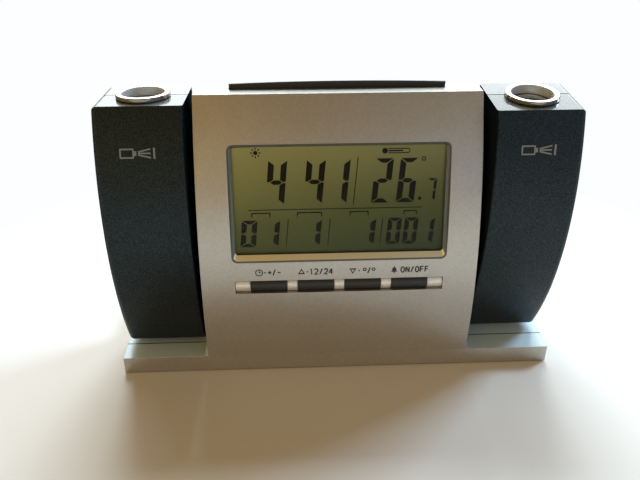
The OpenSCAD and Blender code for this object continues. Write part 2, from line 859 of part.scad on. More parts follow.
// Flat ribbon from the key board's back up to the main board's back
module key_ribbon() {
    key_back = key_board_y + board_t;
    path = concat([[key_back, key_z - ribbon_drop], [key_back, key_z + ribbon_rise]],
        [for (z = ribbon_ends) display_point(board_y + board_t, z)]);
    thick = [for (i = [len(path) - 1:-1:0]) path[i] + [ribbon_t, 0]];
    color("white") along_x(ribbon_w) polygon(concat(path, thick));
}

// ---------- Snooze bar, sounder and power ----------

// Side view of all that lies above the snooze bar's sloped underside
module above_skirt() {
    polygon([[snooze_y, body_top - snooze_front_skirt], [snooze_end_y, snooze_end_z - snooze_skirt],
        [snooze_end_y, far], [snooze_y, far]]);
}

// Side view of the snooze bar's outside, drawn in by inset
module snooze_side_view(inset) {
    p = [snooze_y, snooze_edge_z];
    q = [snooze_end_y, snooze_end_z];
    chord = norm(q - p);
    r = (pow(chord / 2, 2) + pow(snooze_sag, 2)) / (2 * snooze_sag);
    n = [p[1] - q[1], q[0] - p[0]] / chord;
    centre = (p + q) / 2 - (r - snooze_sag) * n;
    intersection() {
        translate(centre) circle(r = r - inset, $fn = arc_fn);
        translate([snooze_y + inset, snooze_end_z - far]) square([snooze_d - 2 * inset, 2 * far]);
    }
}

// Black snooze bar: a hollow wedge over the top edge, on two guide posts
module snooze_bar() {
    half = snooze_w / 2;
    crown_r = (pow(half, 2) + pow(snooze_crown, 2)) / (2 * snooze_crown);
    stop_z = shelf_z + shelf_t + board_t + switch_h + switch_stem_h + snooze_travel + seat_gap;
    color([0.06, 0.06, 0.06]) {
        difference() {
            intersection() {
                along_x(snooze_w) intersection() {
                    snooze_side_view(0);
                    above_skirt();
                }
                along_y(snooze_y, snooze_end_y)
                    translate([0, snooze_edge_z - crown_r]) circle(r = crown_r, $fn = arc_fn);
            }
            along_x(snooze_w - 2 * snooze_skin) snooze_side_view(snooze_skin);
        }
        intersection() {
            along_x(snooze_w) snooze_side_view(snooze_skin / 2);
            union() {
                for (sx = [-1, 1]) translate([sx * guide_x, snooze_mid_y, shelf_z - snooze_travel])
                    cylinder(r = guide_r, h = far);
                translate([0, snooze_mid_y, stop_z]) cylinder(r = plunger_r, h = far);
            }
        }
    }
}

// Small board under the snooze switch
module snooze_board() {
    color("darkgreen")
        block([-snooze_board_w / 2, snooze_board_w / 2],
            [snooze_mid_y - snooze_board_d / 2, snooze_mid_y + snooze_board_d / 2],
            [shelf_z + shelf_t, shelf_z + shelf_t + board_t]);
}

// Sounder in its ring on the rear cover
module sounder() {
    color("black") difference() {
        rod_y(sounder_x, sounder_z, sounder_seat_y - sounder_t, sounder_seat_y, sounder_r - seat_gap);
        rod_y(sounder_x, sounder_z, sounder_seat_y - 1, sounder_seat_y + 1, 2 * sound_hole_r);
    }
}

// Two AA cells, one above the other
module cells() {
    color("steelblue") for (i = [0, 1]) translate([0, cell_y, cell_z[i]]) mirror([i, 0, 0]) {
        rod_x(-cell_l / 2, cell_l / 2 - cell_tip_l, cell_r);
        rod_x(cell_l / 2 - cell_tip_l - e, cell_l / 2, cell_tip_r);
    }
}

// Bent strip contacts at both ends of the cells
module cell_contacts() {
    half = contact_half;
    color("gold") both_sides() for (z = cell_z) {
        block([bay_half - contact_t, bay_half], [cell_y - half, cell_y + half], [z - half, z + half]);
        contact_leaf([cell_l / 2, cell_y - 0.6 * half],
            [bay_half - contact_t + e, cell_y + 0.9 * half], z);
    }
    color("gold") block([-bay_half, contact_t - bay_half], [cell_y - half, cell_y + half],
        [cell_z[0] + half - e, cell_z[1] - half + e]);
}

// Springy leaf between two points in plan, about height z
module contact_leaf(from, to, z) {
    translate([0, 0, z - leaf_w / 2]) linear_extrude(leaf_w)
        polygon([from, from + [0, 1.5 * leaf_t], to, to - [0, leaf_t]]);
}

// Battery door, on two pins at its bottom edge, with a finger notch at its top
module battery_door() {
    half = door_w / 2;
    color("silver") difference() {
        union() {
            block([-half, half], [rear_y - door_t, rear_y], [door_axis_z, door_high]);
            translate([0, door_axis_y, door_axis_z]) {
                rod_x(-half, half, door_t / 2);
                rod_x(-half - door_pin_l, half + door_pin_l, door_pin_r);
            }
        }
        translate([0, rear_y + notch_r - 1, door_high - notch_r + 0.6]) rotate([0, 90, 0])
            cylinder(r = notch_r, h = notch_w, center = true);
    }
}

// Flanged bushes in the body's sides
module pivot_bushes() {
    color("ivory") both_sides() translate([0, seam_y, pivot_z]) difference() {
        union() {
            rod_x(bush_in_x, bush_out_x, bush_r);
            rod_x(bearing_x + 0.15, bush_out_x, hub_flange_r);
        }
        rod_x(bush_in_x - 1, bush_out_x + 1, hub_r + run_gap);
    }
}

// Leads from the hubs to the main board's back
module case_leads() {
    bend = display_point(board_y + board_t + 4, lead_end_z);
    end = display_point(board_y + board_t + seat_gap, lead_end_z);
    color("firebrick") both_sides()
        wire([[nut_x - 1, seam_y, pivot_z], [nut_x - lead_clear, bend[0], bend[1]],
            [board_w / 2 - lead_inset, end[0], end[1]]], lead_r);
}

// ---------- Pods ----------

// Solid of revolution about a level axis, its rim rounded by e_in and e_out
module arc_slab(r, x0, x1, e_in, e_out) {
    rotate([0, 90, 0]) rotate_extrude($fn = arc_fn) {
        translate([0, x0]) square([r - max(e_in, e_out), x1 - x0]);
        translate([0, x0 + e_in]) square([r, x1 - x0 - e_in - e_out]);
        translate([r - max(e_in, e_out) - e, x0]) square([max(e_in, e_out) - e_in + e, e_in + e]);
        translate([r - e_in, x0 + e_in]) circle(r = e_in, $fn = 48);
        translate([r - e_out, x1 - e_out]) circle(r = e_out, $fn = 48);
    }
}

// Front view of a pod, drawn in by inset, its outer corners rounded
module pod_front_view(inset) {
    r = inset > 0 ? pod_inner_edge : pod_edge + 0.2;
    x = [pod_x + inset, pod_end_x - inset];
    z = [pod_low + inset, pod_top - inset];
    translate([x[0], z[0]]) square([x[1] - x[0] - r, z[1] - z[0]]);
    translate([x[0], z[0] + r]) square([x[1] - x[0], z[1] - z[0] - 2 * r]);
    for (corner = [z[0] + r, z[1] - r]) translate([x[1] - r, corner]) circle(r = r, $fn = 48);
}

// Solid of a pod, drawn in by inset
module pod_solid(inset = 0) {
    e_in = inset > 0 ? pod_inner_edge : pod_edge_in;
    e_out = inset > 0 ? pod_inner_edge : pod_edge;
    x = [pod_x + inset, pod_end_x - inset];
    intersection() {
        along_y(-pod_reach, pod_back) pod_front_view(inset);
        translate([0, pod_arc_r - pod_reach, pod_arc_rise])
            arc_slab(pod_arc_r - inset, x[0], x[1], e_in, e_out);
        translate([0, pod_back - pod_back_r, 0])
            arc_slab(pod_back_r - inset, x[0], x[1], e_in, e_out);
    }
}

// Shell of one half of a pod, open at the seam: front for direction -1, rear for +1
module pod_half(direction) {
    depth = direction < 0 ? [-pod_reach - 1, 0] : [0, pod_back + 1];
    rib_reach = direction < 0 ? [-pod_reach, lens_y - lamp_side / 2 - run_gap]
        : [lens_y + lamp_side / 2 + run_gap, pod_back];
    difference() {
        intersection() {
            block([pod_x - 1, pod_end_x + 1], depth, [pod_low - 1, pod_top + 1]);
            union() {
                difference() {
                    pod_solid();
                    pod_solid(pod_wall);
                }
                intersection() {
                    pod_solid(pod_wall / 2);
                    union() {
                        for (at = pod_screws_at)
                            rod_y(at[0], at[1], -pod_reach, pod_back, head_r + screw_wall);
                        for (z = [lamp_low + rib_rise, lamp_top - rib_rise - rib_t])
                            block([lens_x - tube_r, lens_x + tube_r], rib_reach, [z, z + rib_t]);
                    }
                }
            }
        }
        rod_x(pod_x - 1, pod_x + pod_wall + 1, hub_r + seat_gap);
        translate([lens_x, lens_y, pod_top - pod_wall - 1])
            cylinder(r = skirt_r + run_gap, h = pod_wall + 2);
        for (at = pod_screws_at)
            if (direction < 0) rod_y(at[0], at[1], -screw_depth, 1, screw_r);
            else {
                rod_y(at[0], at[1], -1, pod_back + 1, screw_r + slide_gap);
                rod_y(at[0], at[1], seat_depth, pod_back + 1, head_r + slide_gap);
            }
    }
}

// Front half shell of a pod
module pod_front(side) {
    color([0.13, 0.14, 0.16]) on_pod(side) pod_half(-1);
}

// Rear half shell of a pod
module pod_rear(side) {
    color([0.11, 0.12, 0.13]) on_pod(side) pod_half(1);
}

// Chrome focus ring: bevelled collar, throat with a ledge that stops the barrel, skirt and flange
module focus_ring(side) {
    collar_low = pod_top + collar_gap;
    bevel = ring_bevel;
    throat_r = barrel_r - 0.4;
    color("gainsboro") on_pod(side) translate([lens_x, lens_y, 0]) rotate_extrude() difference() {
        union() {
            polygon([[0, collar_low], [ring_r - bevel, collar_low], [ring_r, collar_low + bevel],
                [ring_r, collar_top - bevel], [ring_r - bevel, collar_top], [0, collar_top]]);
            translate([0, skirt_low]) square([skirt_r, collar_low - skirt_low + e]);
            translate([0, flange_z - ring_flange_t]) square([ring_flange_r, ring_flange_t]);
        }
        polygon([[0, collar_top + 1], [mouth_r + bevel, collar_top + 1], [mouth_r + bevel, collar_top],
            [mouth_r, collar_top - bevel], [mouth_r, throat_z + ledge_t], [throat_r, throat_z + ledge_t],
            [throat_r, throat_z], [0, throat_z]]);
        translate([0, skirt_low - 1]) square([barrel_r + slide_gap, throat_z - skirt_low + 1 + e]);
    }
}

// Barrel that carries the lens up and down in the projector tube
module lens_barrel(side) {
    seat_z = lens_z - lens_dome - lens_rim_t;
    color([0.1, 0.1, 0.1]) on_pod(side) translate([lens_x, lens_y, 0]) rotate_extrude() difference() {
        translate([0, barrel_top - barrel_l]) square([barrel_r, barrel_l]);
        translate([0, seat_z]) square([lens_r + run_gap, barrel_top - seat_z + 1]);
        translate([0, barrel_top - barrel_l - 1]) square([lens_r - 0.8, barrel_l + 1]);
    }
}

// Biconvex lens
module lens(side) {
    r = (pow(lens_r, 2) + pow(lens_dome, 2)) / (2 * lens_dome);
    color([0.6, 0.7, 0.8, 0.5]) on_pod(side) translate([lens_x, lens_y, lens_z]) intersection() {
        translate([0, 0, lens_dome + lens_rim_t / 2 - r]) sphere(r = r, $fn = 180);
        translate([0, 0, r - lens_dome - lens_rim_t / 2]) sphere(r = r, $fn = 180);
        cylinder(r = lens_r, h = 2 * (lens_dome + lens_rim_t), center = true);
    }
}

// Tube that guides the lens barrel, with a square foot on the lamp housing
module projector_tube(side) {
    half = lamp_side / 2;
    color([0.12, 0.12, 0.12]) on_pod(side) translate([lens_x, lens_y, 0]) difference() {
        union() {
            translate([0, 0, tube_low]) cylinder(r = tube_r - seat_gap, h = tube_l);
            block([-half, half], [-half, half], [tube_low, tube_low + tube_foot_t]);
        }
        translate([0, 0, tube_top - tube_bore_l])
            cylinder(r = barrel_r + run_gap, h = tube_bore_l + 1);
        translate([0, 0, tube_low - 1]) cylinder(r = barrel_r - 1, h = far);
    }
}

// Image plate that the lamp shines through
module image_plate(side) {
    half = lamp_side / 2 - plate_margin;
    color("slategray") on_pod(side) translate([lens_x, lens_y, 0])
        block([-half, half], [-half, half], [lamp_top - plate_t, lamp_top]);
}

// Square housing of the lamp
module lamp_housing(side) {
    half = lamp_side / 2;
    seat = half - plate_margin + seat_gap;
    color([0.15, 0.15, 0.15]) on_pod(side) translate([lens_x, lens_y, 0]) difference() {
        block([-half, half], [-half, half], [lamp_low, lamp_top]);
        block([-seat, seat], [-seat, seat], [lamp_top - plate_t, lamp_top + 1]);
        translate([0, 0, lamp_low + housing_floor_t]) cylinder(r = housing_bore_r, h = far);
        translate([0, 0, lamp_low - 1])
            cylinder(r = lamp_r + lamp_rim + slide_gap, h = housing_floor_t + 2);
    }
}

// Lamp with its domed nose, on the lamp board
module lamp(side) {
    color("white") on_pod(side) translate([lens_x, lens_y, lamp_low]) {
        cylinder(r = lamp_r + lamp_rim, h = 1);
        cylinder(r = lamp_r, h = lamp_l_straight);
        translate([0, 0, lamp_l_straight]) sphere(r = lamp_r);
    }
}

// Board under the lamp housing
module lamp_board(side) {
    half = lamp_side / 2;
    color("darkgreen") on_pod(side) translate([lens_x, lens_y, 0])
        block([-half, half], [-half, half], [lamp_low - board_t, lamp_low]);
}

// Hollow hub: flange in the pod, tube through the bush
module pivot_hub(side) {
    color("gray") on_pod(side) difference() {
        union() {
            rod_x(nut_x, pod_x + pod_wall + hub_flange_t, hub_r);
            rod_x(pod_x + pod_wall, pod_x + pod_wall + hub_flange_t, hub_flange_r);
        }
        rod_x(nut_x - 1, pod_x + pod_wall + hub_flange_t + 1, hub_hole_r);
    }
}

// Round nut on the hub's end, with the lug that meets the stops
module hub_nut(side) {
    color("gray") on_pod(side) difference() {
        union() {
            rod_x(nut_x, washer_x, nut_r);
            block([nut_x, washer_x], [-lug_w / 2, lug_w / 2], [nut_r - nut_lip, lug_r]);
        }
        rod_x(nut_x - 1, washer_x + 1, hub_r + run_gap);
    }
}

// Friction washer between nut and bush
module friction_washer(side) {
    color("sienna") on_pod(side) difference() {
        rod_x(washer_x, bush_in_x, nut_r);
        rod_x(washer_x - 1, bush_in_x + 1, hub_r + run_gap);
    }
}

// Screws that hold the two halves of a pod together
module pod_screws(side) {
    color("gray") on_pod(side) for (at = pod_screws_at) screw_y(at[0], at[1], seat_depth, screw_l);
}

// Lead from the lamp board down and out through the hub
module pod_lead(side) {
    color("firebrick") on_pod(side)
        wire([[nut_x, 0, 0], [pod_x + lead_bend, 0, 0],
            [lens_x - lead_r, 0, lamp_low - board_t - seat_gap - lead_r / 2]], lead_r);
}

front_cover();
rear_cover();
base_plate();
feet();
base_screws();
case_screws();
display_bezel();
display_window();
lcd_glass();
light_guide();
contact_strips();
main_board();
clock_chip();
board_screws();
key_strip();
key(0);  // key_time
key(1);  // key_up
key(2);  // key_down
key(3);  // key_alarm
key_board();
tact_switches();
key_ribbon();
snooze_bar();
snooze_board();
sounder();
cells();
cell_contacts();
battery_door();
pivot_bushes();
case_leads();
pod_front(left);  // left_pod_front
pod_rear(left);  // left_pod_rear
focus_ring(left);  // left_focus_ring
lens_barrel(left);  // left_lens_barrel
lens(left);  // left_lens
projector_tube(left);  // left_projector_tube
image_plate(left);  // left_image_plate
lamp_housing(left);  // left_lamp_housing
lamp(left);  // left_lamp
lamp_board(left);  // left_lamp_board
pivot_hub(left);  // left_pivot_hub
hub_nut(left);  // left_hub_nut
friction_washer(left);  // left_washer
pod_screws(left);  // left_pod_screws
pod_lead(left);  // left_pod_lead
pod_front(right);  // right_pod_front
pod_rear(right);  // right_pod_rear
focus_ring(right);  // right_focus_ring
lens_barrel(right);  // right_lens_barrel
lens(right);  // right_lens
projector_tube(right);  // right_projector_tube
image_plate(right);  // right_image_plate
lamp_housing(right);  // right_lamp_housing
lamp(right);  // right_lamp
lamp_board(right);  // right_lamp_board
pivot_hub(right);  // right_pivot_hub
hub_nut(right);  // right_hub_nut
friction_washer(right);  // right_washer
pod_screws(right);  // right_pod_screws
pod_lead(right);  // right_pod_lead
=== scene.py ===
"""Looks of the projection alarm clock: finishes, display content, printed marks, camera and studio."""
import math

import bmesh
import bpy
from mathutils import Matrix, Vector
from mathutils.bvhtree import BVHTree


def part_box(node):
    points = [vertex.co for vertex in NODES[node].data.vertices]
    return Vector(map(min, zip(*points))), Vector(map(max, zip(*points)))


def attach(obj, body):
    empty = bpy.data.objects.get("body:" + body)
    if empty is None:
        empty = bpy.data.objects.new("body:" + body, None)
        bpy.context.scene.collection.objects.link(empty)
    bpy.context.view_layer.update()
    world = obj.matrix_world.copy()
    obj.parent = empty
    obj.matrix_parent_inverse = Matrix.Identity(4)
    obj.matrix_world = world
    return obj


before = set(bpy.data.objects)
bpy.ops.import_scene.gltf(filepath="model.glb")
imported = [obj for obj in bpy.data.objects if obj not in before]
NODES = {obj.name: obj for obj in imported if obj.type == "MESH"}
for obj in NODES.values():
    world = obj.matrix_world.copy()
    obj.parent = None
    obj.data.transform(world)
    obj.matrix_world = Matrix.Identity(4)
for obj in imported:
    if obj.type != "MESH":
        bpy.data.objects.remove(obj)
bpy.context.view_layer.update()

MM = 0.001
SIDES = ("left", "right")


# ---------- Places worked out from the frame ----------

FLAT_WITHIN = 0.01 * MM     # how far a flat face's vertices may lie from its plane
DECK_SHARE = 0.8            # of the half width; beyond it the front cover is only deck
FLANK_SHARE = 0.46          # of a focus ring's width; beyond it, from its axis, lies its outer flank
TOP_BAND = 2 * MM           # height at a pod shell's top in which its seam edge is looked for


def points(node):
    """A node's vertices, in metres."""
    return [v.co for v in NODES[node].data.vertices]


def front_face(node):
    """Middle and normal of a flat node's largest face towards the reader."""
    mesh = NODES[node].data
    normal = max((p for p in mesh.polygons if p.normal.y < 0), key=lambda p: p.area).normal.copy()
    reach = max(v.co.dot(normal) for v in mesh.vertices)
    near = [v.co for v in mesh.vertices if reach - v.co.dot(normal) < FLAT_WITHIN]
    low = Vector(min(p[i] for p in near) for i in range(3))
    high = Vector(max(p[i] for p in near) for i in range(3))
    return (low + high) / 2, normal


def surface(node):
    """Search tree over a node's faces, for placing prints on it."""
    mesh = NODES[node].data
    return BVHTree.FromPolygons([v.co for v in mesh.vertices], [p.vertices[:] for p in mesh.polygons])


COVER_LOW, COVER_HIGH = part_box("front_cover")
DECK_TOP = max(p.z for p in points("front_cover") if abs(p.x) > DECK_SHARE * COVER_HIGH.x)
DECK_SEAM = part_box("rear_cover")[0].y
RING_BOXES = [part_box(side + "_focus_ring") for side in SIDES]
RING_TOP = RING_BOXES[0][1].z
RING_AXES = [((low.x + high.x) / 2, (low.y + high.y) / 2) for low, high in RING_BOXES]
RING_FLANK_FROM = FLANK_SHARE * (RING_BOXES[0][1].x - RING_BOXES[0][0].x)
LCD_MIDDLE, LCD_NORMAL = front_face("lcd_glass")
LCD_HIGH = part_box("lcd_glass")[1]
LCD_UP = LCD_NORMAL.cross(Vector((1, 0, 0))).normalized()
if LCD_UP.z < 0:
    LCD_UP = -LCD_UP


def pod_seam(side):
    """Seam plane of a pod, as (y, z) pairs: a point on its pivot axis, and the seam's direction."""
    low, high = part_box(side + "_pivot_hub")
    axis = Vector(((low.y + high.y) / 2, (low.z + high.z) / 2))
    shell = points(side + "_pod_rear")
    top = max(p.z for p in shell)
    edge = min((p for p in shell if top - p.z < TOP_BAND), key=lambda p: p.y)
    return axis, (Vector((edge.y, edge.z)) - axis).normalized()


# ---------- Node helpers ----------

class Finish:
    """A material being built: one Principled shader, and textures laid out in the part's own metres."""

    def __init__(self, name, **values):
        self.material = bpy.data.materials.new(name)
        self.material.use_nodes = True
        self.tree = self.material.node_tree
        self.shader = self.tree.nodes["Principled BSDF"]
        self.output = self.tree.nodes["Material Output"]
        self.place = self.add("ShaderNodeTexCoord").outputs["Object"]
        for socket, value in values.items():
            self.shader.inputs[socket.replace("_", " ")].default_value = value

    def add(self, kind, **settings):
        node = self.tree.nodes.new(kind)
        for key, value in settings.items():
            setattr(node, key, value)
        return node

    def link(self, source, target):
        self.tree.links.new(source, target)

    def noise(self, scale, detail=3.0, roughness=0.55, stretch=None):
        """Noise of a scale per metre, each axis multiplied by its stretch."""
        node = self.add("ShaderNodeTexNoise")
        node.inputs["Scale"].default_value = scale
        node.inputs["Detail"].default_value = detail
        node.inputs["Roughness"].default_value = roughness
        self.link(self.stretched(stretch), node.inputs["Vector"])
        return node.outputs["Fac"]

    def cells(self, scale):
        """A random colour for each small cell, of a scale per metre."""
        node = self.add("ShaderNodeTexVoronoi")
        node.inputs["Scale"].default_value = scale
        self.link(self.place, node.inputs["Vector"])
        return node.outputs["Color"]

    def stretched(self, stretch):
        """The part's own metres, each axis multiplied by its stretch."""
        if stretch is None:
            return self.place
        node = self.add("ShaderNodeMapping")
        node.inputs["Scale"].default_value = stretch
        self.link(self.place, node.inputs["Vector"])
        return node.outputs["Vector"]

    def ramp(self, factor, stops):
        """Colours along a factor: stops are (position, colour)."""
        node = self.add("ShaderNodeValToRGB")
        elements = node.color_ramp.elements
        while len(elements) < len(stops):
            elements.new(0.5)
        for element, (position, colour) in zip(elements, stops):
            element.position = position
            element.color = (*colour, 1)
        self.link(factor, node.inputs["Fac"])
        return node.outputs["Color"]

    def span(self, factor, low, high, start=0.3, end=0.7):
        """A value from low to high as the factor goes from start to end."""
        node = self.add("ShaderNodeMapRange")
        for socket, value in zip(("From Min", "From Max", "To Min", "To Max"), (start, end, low, high)):
            node.inputs[socket].default_value = value
        self.link(factor, node.inputs["Value"])
        return node.outputs["Result"]

    def blend(self, factor, first, second, mode="MIX"):
        """Two colours mixed: each is a socket or an RGB triple, the factor a socket or a number."""
        node = self.add("ShaderNodeMix", data_type="RGBA", blend_type=mode)
        for socket, value in zip(("Factor", "A", "B"), (factor, first, second)):
            index = [i for i, s in enumerate(node.inputs) if s.name == socket and s.enabled][0]
            if isinstance(value, bpy.types.NodeSocket):
                self.link(value, node.inputs[index])
            else:
                node.inputs[index].default_value = (*value, 1) if isinstance(value, tuple) else value
        return [s for s in node.outputs if s.enabled][0]

    def axis(self, vector, name):
        node = self.add("ShaderNodeSeparateXYZ")
        self.link(vector, node.inputs["Vector"])
        return node.outputs[name]

    def calculate(self, operation, first, second=0.0):
        node = self.add("ShaderNodeMath", operation=operation)
        for socket, value in zip(node.inputs, (first, second)):
            if isinstance(value, bpy.types.NodeSocket):
                self.link(value, socket)
            else:
                socket.default_value = value
        return node.outputs["Value"]

    def facing_up(self, least=0.9):
        """1 on faces that look upwards, 0 on all others."""
        normal = self.add("ShaderNodeTexCoord").outputs["Normal"]
        return self.calculate("GREATER_THAN", self.axis(normal, "Z"), least)

    def facing_across(self):
        """How far a face looks to the left or the right, from 0 to 1."""
        normal = self.add("ShaderNodeTexCoord").outputs["Normal"]
        return self.calculate("ABSOLUTE", self.axis(normal, "X"))

    def stripe(self, name, at, half):
        """1 within a half width of a plane across an axis: a seam."""
        away = self.calculate("ABSOLUTE", self.calculate("SUBTRACT", self.axis(self.place, name), at))
        return self.calculate("LESS_THAN", away, half)

    def colour(self, socket):
        self.link(socket, self.shader.inputs["Base Color"])

    def roughness(self, socket):
        self.link(socket, self.shader.inputs["Roughness"])

    def relief(self, height, depth, strength=1.0, edge=0.0):
        """Bump of a depth in metres, over edges that look rounded to a radius."""
        node = self.add("ShaderNodeBump")
        node.inputs["Strength"].default_value = strength
        node.inputs["Distance"].default_value = depth
        self.link(height, node.inputs["Height"])
        if edge:
            rounding = self.add("ShaderNodeBevel", samples=6)
            rounding.inputs["Radius"].default_value = edge
            self.link(rounding.outputs["Normal"], node.inputs["Normal"])
        self.link(node.outputs["Normal"], self.shader.inputs["Normal"])


# ---------- Finishes ----------

SEAM_HALF = 0.25 * MM       # half width of a seam's dark line
DECK_MARGIN = 0.5 * MM      # how far over the deck its finish reaches

# Silver paint
FLAKE_PITCH = 0.7 * MM
FLAKE_SHARES = (0.945, 1.04)    # of the paint's tone, on the dullest and the brightest flakes
PANEL_ROUGH = (0.31, 0.36)
DECK_SMOOTHER = 0.10        # how much the deck's roughness is below the panel's
# The deck's pale blue colour is a painted reflection of cool light on the silver deck.
DECK_PAINTED_REFLECTION, DECK_METALLIC = (0.72, 0.91, 1.0), 0.1
DECK_SEAM_TONE = (0.03, 0.03, 0.028)

# Pods
# The top's paler colour is a painted sheen: the top faces lightened as if they caught the light.
POD_DARK, POD_PALE, POD_TOP_PAINTED_SHEEN = (0.005, 0.007, 0.009), (0.007, 0.010, 0.012), (0.07, 0.080, 0.084)
POD_SEAM_TONE = (0.004, 0.004, 0.004)
POD_ROUGH = (0.31, 0.40)
POD_TOP_SMOOTHER = 0.14     # how much the top's roughness is below the rest
POD_FRONT_POLISH = 0.72     # the front shell's share of the rear shell's polish
POD_COAT_ROUGH, POD_COAT_IOR = 0.14, 1.32
POD_GLOSS = 0.35
POD_FLANK = (0.35, 0.75)    # how far a face looks sideways where its gloss starts to fade, and is gone
POD_GRAIN, POD_GRAIN_DEPTH = 0.45 * MM, 0.020 * MM
POD_SPARKLE = (0.5, 1.5)    # share of the gloss in the grain's dales and on its tops

# Bezel and display
# The foot slope's pale colour is a painted highlight: light from above painted onto the slopes that face
# upwards.
BEZEL_DARK, BEZEL_PALE, BEZEL_FOOT_PAINTED_HIGHLIGHT = (0.11, 0.115, 0.10), (0.135, 0.14, 0.12), (0.80, 0.76, 0.55)
BEZEL_SLOPE = 0.3           # least upward part of the normal of the foot slope that takes the painted highlight
# Tones of the display from its lower right to its upper left: its olive colour, darkened towards the lower
# right by a painted reflection
LCD_TONES_PAINTED_REFLECTION = ((0, (0.034, 0.042, 0.013)), (0.42, (0.115, 0.13, 0.038)), (0.8, (0.31, 0.29, 0.115)),
             (1, (0.42, 0.38, 0.17)))
LCD_RISE, LCD_LEFT = 0.72, 0.28     # shares of the tone's way that height and the left side give
LCD_GRAIN = (0.955, 1.04)

# Focus rings
CHROME_DULL, CHROME_BRIGHT = (0.77, 0.78, 0.79), (0.86, 0.87, 0.88)
# The flanks' dark colour is a painted reflection of dark surroundings; the ledge's black is painted shade,
# the dark gap deep in the throat.
FLANK_PAINTED_REFLECTION, THROAT, LEDGE_PAINTED_SHADE = (0.30, 0.28, 0.22), (0.72, 0.72, 0.70), (0.02, 0.02, 0.02)
LEDGE_DEPTH = 1.6 * MM      # below the ring's top, from where its level faces are painted black as shade
THROAT_ROUGHER = 0.25       # how much the throat's roughness is above the plating's
THROAT_METALLIC = 0.4

CAN_REACH = 26 * MM         # half the length over which a cell's bands are laid out


def silver(name, dark, pale, metallic):
    """Silver paint with fine flakes: satin on the panel, smoother on the deck, where a pale blue painted
    reflection takes the place of its silver, with its seam.
    """
    f = Finish(name)
    flakes = f.span(f.axis(f.cells(1 / FLAKE_PITCH), "X"), *FLAKE_SHARES, 0, 1)
    tint = f.blend(1.0, f.blend(f.noise(45, 2), dark, pale), flakes, "MULTIPLY")
    low = f.calculate("LESS_THAN", f.axis(f.place, "Z"), DECK_TOP + DECK_MARGIN)
    deck = f.calculate("MULTIPLY", f.facing_up(), low)
    seam = f.calculate("MULTIPLY", deck, f.stripe("Y", DECK_SEAM, SEAM_HALF))
    # Upward faces of the deck take the painted reflection instead of the silver tint.
    f.colour(f.blend(seam, f.blend(deck, tint, DECK_PAINTED_REFLECTION), DECK_SEAM_TONE))
    satin = f.span(f.noise(900, 2), *PANEL_ROUGH)
    f.roughness(f.calculate("SUBTRACT", satin, f.calculate("MULTIPLY", deck, DECK_SMOOTHER)))
    f.link(f.span(deck, metallic, DECK_METALLIC, 0, 1), f.shader.inputs["Metallic"])
    f.relief(f.noise(3200, 2), 0.004 * MM, 0.5, 0.3 * MM)
    return f.material


def moulded(name, colour, rough, grain, depth=0.01, edge=0.2, **values):
    """Moulded plastic: a fine spark-eroded grain of a pitch in mm, slightly uneven gloss and colour."""
    f = Finish(name, Roughness=rough, **values)
    darker = tuple(0.82 * c for c in colour)
    f.colour(f.blend(f.noise(120, 4), darker, colour))
    f.roughness(f.span(f.noise(700, 3), rough - 0.04, rough + 0.05))
    f.relief(f.noise(1 / (grain * MM), 3, 0.6), depth * MM, 0.5, edge * MM)
    return f.material


def pod_shell():
    """Charcoal plastic with a fine grain, polished on top, most at the back, with a painted sheen that
    lightens the top's colour; a dark seam parts the shells.
    """
    f = Finish("charcoal", Specular_Tint=(0.70, 0.92, 1.0, 1), Coat_Roughness=POD_COAT_ROUGH,
               Coat_IOR=POD_COAT_IOR)
    top = f.facing_up()
    seam, front = 0.0, 0.0
    for side, sign in zip(SIDES, (-1, 1)):
        axis, along = pod_seam(side)
        dy = f.calculate("SUBTRACT", f.axis(f.place, "Y"), axis[0])
        dz = f.calculate("SUBTRACT", f.axis(f.place, "Z"), axis[1])
        away = f.calculate("SUBTRACT", f.calculate("MULTIPLY", dy, along[1]),
                           f.calculate("MULTIPLY", dz, along[0]))
        near = f.calculate("LESS_THAN", f.calculate("ABSOLUTE", away), SEAM_HALF)
        here = f.calculate("GREATER_THAN", f.calculate("MULTIPLY", f.axis(f.place, "X"), sign), 0.0)
        seam = f.calculate("ADD", f.calculate("MULTIPLY", near, here), seam)
        before = f.calculate("MULTIPLY", f.calculate("LESS_THAN", away, 0.0), here)
        front = f.calculate("ADD", before, front)
    grain = f.noise(1 / POD_GRAIN, 3, 0.6)
    base = f.blend(f.noise(120, 4), POD_DARK, POD_PALE)
    # Top faces take the painted sheen in their colour.
    f.colour(f.blend(seam, f.blend(top, base, POD_TOP_PAINTED_SHEEN), POD_SEAM_TONE))
    satin = f.span(f.noise(700, 3), *POD_ROUGH)
    f.roughness(f.calculate("SUBTRACT", satin, f.calculate("MULTIPLY", top, POD_TOP_SMOOTHER)))
    clear_of_seam = f.calculate("SUBTRACT", 1.0, seam)
    share = f.span(front, 1, POD_FRONT_POLISH, 0, 1)
    polish = f.calculate("MULTIPLY", f.calculate("MULTIPLY", top, clear_of_seam), share)
    f.link(polish, f.shader.inputs["Coat Weight"])
    gloss = f.calculate("MULTIPLY", clear_of_seam, f.span(f.facing_across(), POD_GLOSS, 0, *POD_FLANK))
    sparkle = f.span(grain, *POD_SPARKLE, 0.36, 0.64)
    f.link(f.calculate("MULTIPLY", gloss, sparkle), f.shader.inputs["Specular IOR Level"])
    f.relief(grain, POD_GRAIN_DEPTH, 0.6, 0.25 * MM)
    return f.material


